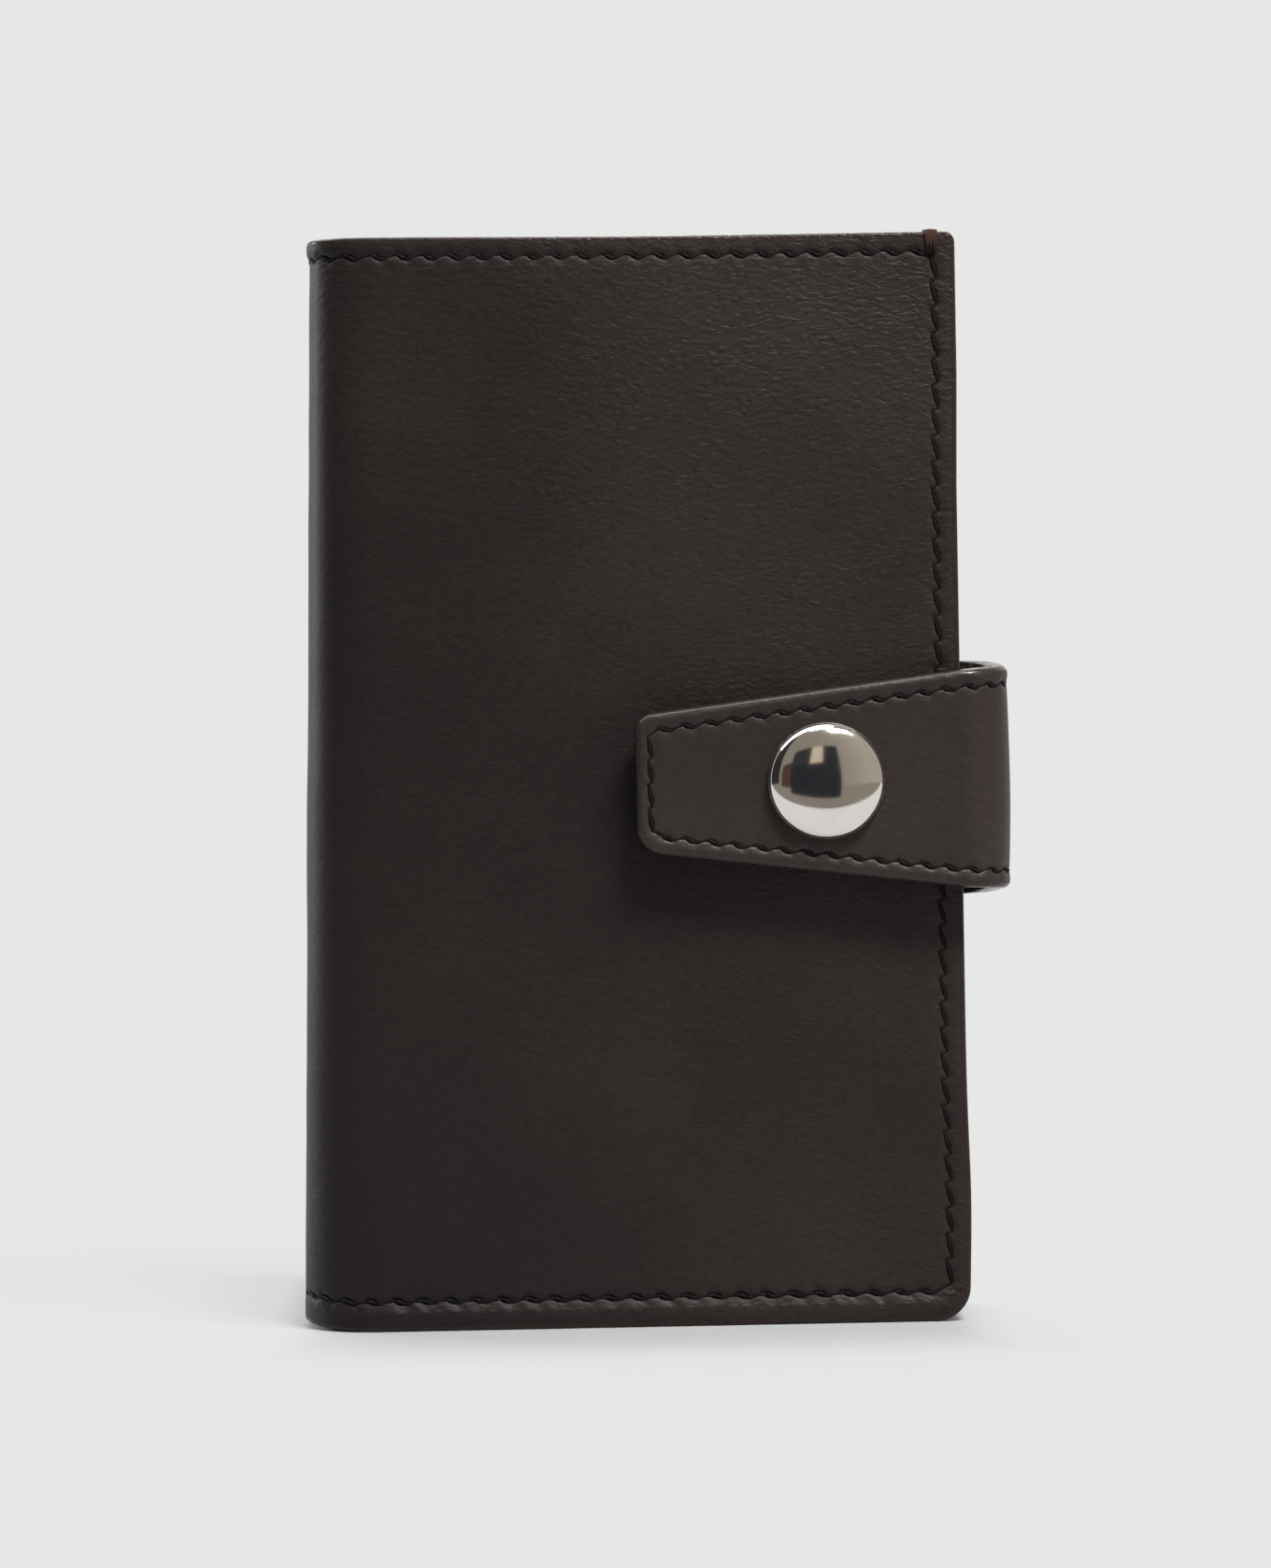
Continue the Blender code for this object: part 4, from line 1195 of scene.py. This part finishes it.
def build_cover(word, side, body, finishes):
    """A cover with its half of the spine. The front's pieces also stand for the whole spine's."""
    wrap = partial(wrap_cover, side)
    stitches = cover_stitches()
    skin, lining = cover_sheets(word, side, finishes, stitches)
    if side < 0:
        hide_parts("front_outer_leather", "spine_outer_leather")
        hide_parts("front_lining", "spine_lining")
        sewn = sewing_thread(stitches, wrap)
    else:
        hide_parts("back_outer_leather")
        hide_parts("back_lining")
        top, down, bottom = stitches
        covered = float(strap_half(STRAP_LENGTH)) + 0.4 * MM
        above = [place for place in down if place[1] > STRAP_Z + covered]
        below = [place for place in down if place[1] < STRAP_Z - covered]
        above = above[: len(above) // 2 * 2]
        below = below[len(below) % 2 :]
        sewn = sewing_thread((top, above), wrap) + sewing_thread((below, bottom), wrap)
    rows = thread_piece(word + "_cover_thread", sewn, finishes["black"])
    if side < 0:
        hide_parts("front_stitching", "spine_upper_stitching", "spine_lower_stitching")
    else:
        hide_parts("back_lower_stitching", "back_upper_stitching")
    bend_at_fold(rows)
    sewn = sewing_thread(stitches, wrap, inner_face)
    sewn += sewing_thread([seam_stitches(1)], wrap, inner_face)
    rows = thread_piece(word + "_inner_thread", sewn, finishes["black"])
    bend_at_fold(rows)
    tack = bar_tack(word + "_tack", side, body, finishes["brown"], finishes["deep_brown"])
    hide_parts(word + "_bar_tack")
    for number in range(len(PANEL_DEPTHS)):
        node = word + ("_slip_panel" if number == 0 else f"_card_pocket_{number}")
        seams = [*stitches, seam_stitches(max(number, 1))]
        panel = pocket_panel(node + "_leather", side, body, number, finishes["pocket"], seams)
        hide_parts(node)
    board = spine_board(word + "_spine_board", side, finishes["board"])
    if side < 0:
        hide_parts("spine_reinforcement")


def build_strap(is_flap, stitches, finishes):
    """Half of the strap, with its half of the loop."""
    word, seed = ("flap", 7.0) if is_flap else ("root", 8.0)
    outer = strap_piece(
        f"strap_{word}_skin", is_flap, STRAP_LEATHER, STRAP_RIM, 0.7 * MM,
        strap_relief(stitches, seed), finishes["strap"],
    )
    inner = strap_piece(
        f"strap_{word}_backing", is_flap, STRAP_LINING, STRAP_LINING_RIM, 1.2 * MM,
        no_relief, finishes["backing"],
    )
    sewn = sewing_thread(stitches, wrap_strap)
    rows = thread_piece(f"strap_{word}_thread", sewn, finishes["black"])
    bend_strap(rows, is_flap)
    if is_flap:
        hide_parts("strap_flap_leather", "strap_loop_leather")
        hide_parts("strap_flap_lining", "strap_loop_lining")
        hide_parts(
            "strap_flap_stitching",
            "strap_loop_upper_stitching",
            "strap_loop_lower_stitching",
        )
    else:
        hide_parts("strap_root_leather")
        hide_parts("strap_root_lining")
        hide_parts("strap_root_stitching")


def build_wallet():
    finishes = {"board": (fibre_board("fibre_board"), "board")}
    for word, look in LEATHERS.items():
        name = word + "_leather"
        finishes[word] = leather(name, **look), SHARED_SLOTS.get(name, name)
    for word, (dark, light) in THREADS.items():
        name = word + "_thread"
        finishes[word] = waxed_thread(name, dark, light), SHARED_SLOTS.get(name, name)
    bright = plated_metal("bright_metal", (0.84, 0.81, 0.775), 0.07, 0.0)
    plain = plated_metal("plain_metal", (0.70, 0.69, 0.66), 0.16, 0.04)
    build_cover("front", -1, "front_cover", finishes)
    build_cover("back", 1, "back_cover", finishes)
    around_tip, around_root = strap_stitches()
    build_strap(True, around_tip, finishes)
    build_strap(False, around_root, finishes)
    cap = snap_cap((bright, "bright_metal"))
    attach(cap, "strap_flap")
    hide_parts("snap_cap")
    set_material(("snap_socket", "snap_stud", "snap_stud_rivet"), plain)
    set_material(("front_stiffener", "back_stiffener"), finishes["board"][0])


def staged_quad(name, corners, material):
    """A face of the set, such as the table or a card."""
    mesh = bpy.data.meshes.new(name)
    mesh.from_pydata(corners, [], [(0, 1, 2, 3)])
    mesh.materials.append(material)
    piece = bpy.data.objects.new(name, mesh)
    bpy.context.scene.collection.objects.link(piece)
    return piece


def floor():
    """A pale table that fades into the backdrop's colour away from the wallet."""
    material, nodes = new_material("floor")
    place = nodes.place()
    reach = nodes.vectors("ABSOLUTE", nodes.vectors("ADD", place, FADE_SHIFT))
    outside = nodes.vectors("MAXIMUM", nodes.vectors("SUBTRACT", reach, FADE_BOX))
    away = nodes.vectors("LENGTH", outside)
    sides = nodes.split(reach)[0]
    beside = nodes.maths("ADD", *(nodes.remapped(sides, *fade) for fade in SIDE_FADES))
    fade_end = nodes.remapped(nodes.split(place)[1], *FADE_ENDS_AT, *FADE_ENDS)
    faded = nodes.maths("MULTIPLY", nodes.remapped(away, FADE_START, fade_end), FADED_NEAR)
    faded = nodes.maths("MAXIMUM", faded, beside)
    last = nodes.remapped(away, *LAST_FADE, 0.0, 1 - FADED_NEAR)
    faded = nodes.maths("ADD", faded, last, clamp=True)
    shown = nodes.maths("MULTIPLY", faded, nodes.seen_rays())
    grain = nodes.noise(place, 900.0, 3.0)
    nodes.finish(
        Base_Color=nodes.mixed(grain, *TABLE_TONES),
        Roughness=0.75,
        Specular_IOR_Level=0.2,
    )
    table = nodes.tree.nodes["Principled BSDF"].outputs[0]
    glow = nodes.add("Emission", {"Color": BACKDROP, "Strength": 1.0})[0]
    surface = nodes.add("MixShader", {0: shown, 1: table, 2: glow})[0]
    nodes.put(nodes.tree.nodes["Material Output"].inputs["Surface"], surface)
    far = TABLE_REACH
    staged_quad("table", [(-far, -far, 0), (far, -far, 0), (far, far, 0), (-far, far, 0)], material)


def area_light(name, place, target, size, power, colour):
    lamp = bpy.data.lights.new(name, "AREA")
    lamp.shape = "RECTANGLE"
    lamp.size, lamp.size_y = size
    lamp.energy = power
    lamp.color = colour
    light = bpy.data.objects.new(name, lamp)
    light.location = place
    light.rotation_euler = (Vector(target) - Vector(place)).to_track_quat("-Z", "Y").to_euler()
    bpy.context.scene.collection.objects.link(light)
    return light


def reflected_card(name, first, last, colour, right_colour=None):
    """A card between two corners that only shows in reflections, like the room round a camera."""
    material, nodes = new_material(name)
    share = nodes.remapped(nodes.split(nodes.place())[0], *CARD_BLEND)
    tone = nodes.mixed(share, colour, right_colour or colour)
    glow = nodes.add("Emission", {"Color": tone, "Strength": 1.0})[0]
    nodes.put(nodes.tree.nodes["Material Output"].inputs["Surface"], glow)
    (x0, y0, z0), (x1, y1, z1) = first, last
    upright = [(x0, y0, z0), (x1, y1, z0), (x1, y1, z1), (x0, y0, z1)]
    level = [(x0, y0, z0), (x1, y0, z0), (x1, y1, z0), (x0, y1, z0)]
    card = staged_quad(name, level if z0 == z1 else upright, material)
    card.visible_camera = False
    card.visible_diffuse = False
    card.visible_shadow = False
    card.visible_transmission = False


def studio():
    """The backdrop, a soft fill, the lamps and the cards."""
    world = bpy.data.worlds.new("studio")
    bpy.context.scene.world = world
    world.use_nodes = True
    nodes = Nodes(world.node_tree)
    shown = nodes.add("Background", {"Color": BACKDROP, "Strength": 1.0})[0]
    fill = nodes.add("Background", {"Color": FILL_COLOUR, "Strength": FILL_STRENGTH})[0]
    surface = nodes.add("MixShader", {0: nodes.seen_rays(), 1: fill, 2: shown})[0]
    nodes.put(nodes.tree.nodes["World Output"].inputs["Surface"], surface)
    for name, lamp in LAMPS.items():
        light = area_light(name, *lamp)
        light.visible_glossy = name != "side"
    for name, card in CARDS.items():
        reflected_card(name, *card)


def camera():
    scene = bpy.context.scene
    lens = bpy.data.cameras.new("camera")
    lens.sensor_fit = "VERTICAL"
    lens.sensor_height = 36.0
    lens.lens = CAMERA_LENS
    lens.clip_start = 0.01
    eye = bpy.data.objects.new("camera", lens)
    level = Euler((math.radians(90) + CAMERA_PITCH, 0.0, -CAMERA_YAW)).to_matrix().to_4x4()
    rolled = level @ Matrix.Rotation(CAMERA_ROLL, 4, "Z")
    eye.matrix_world = Matrix.Translation(CAMERA_PLACE) @ rolled
    scene.collection.objects.link(eye)
    scene.camera = eye
    scene.view_settings.view_transform = "Standard"


build_wallet()
floor()
studio()
camera()
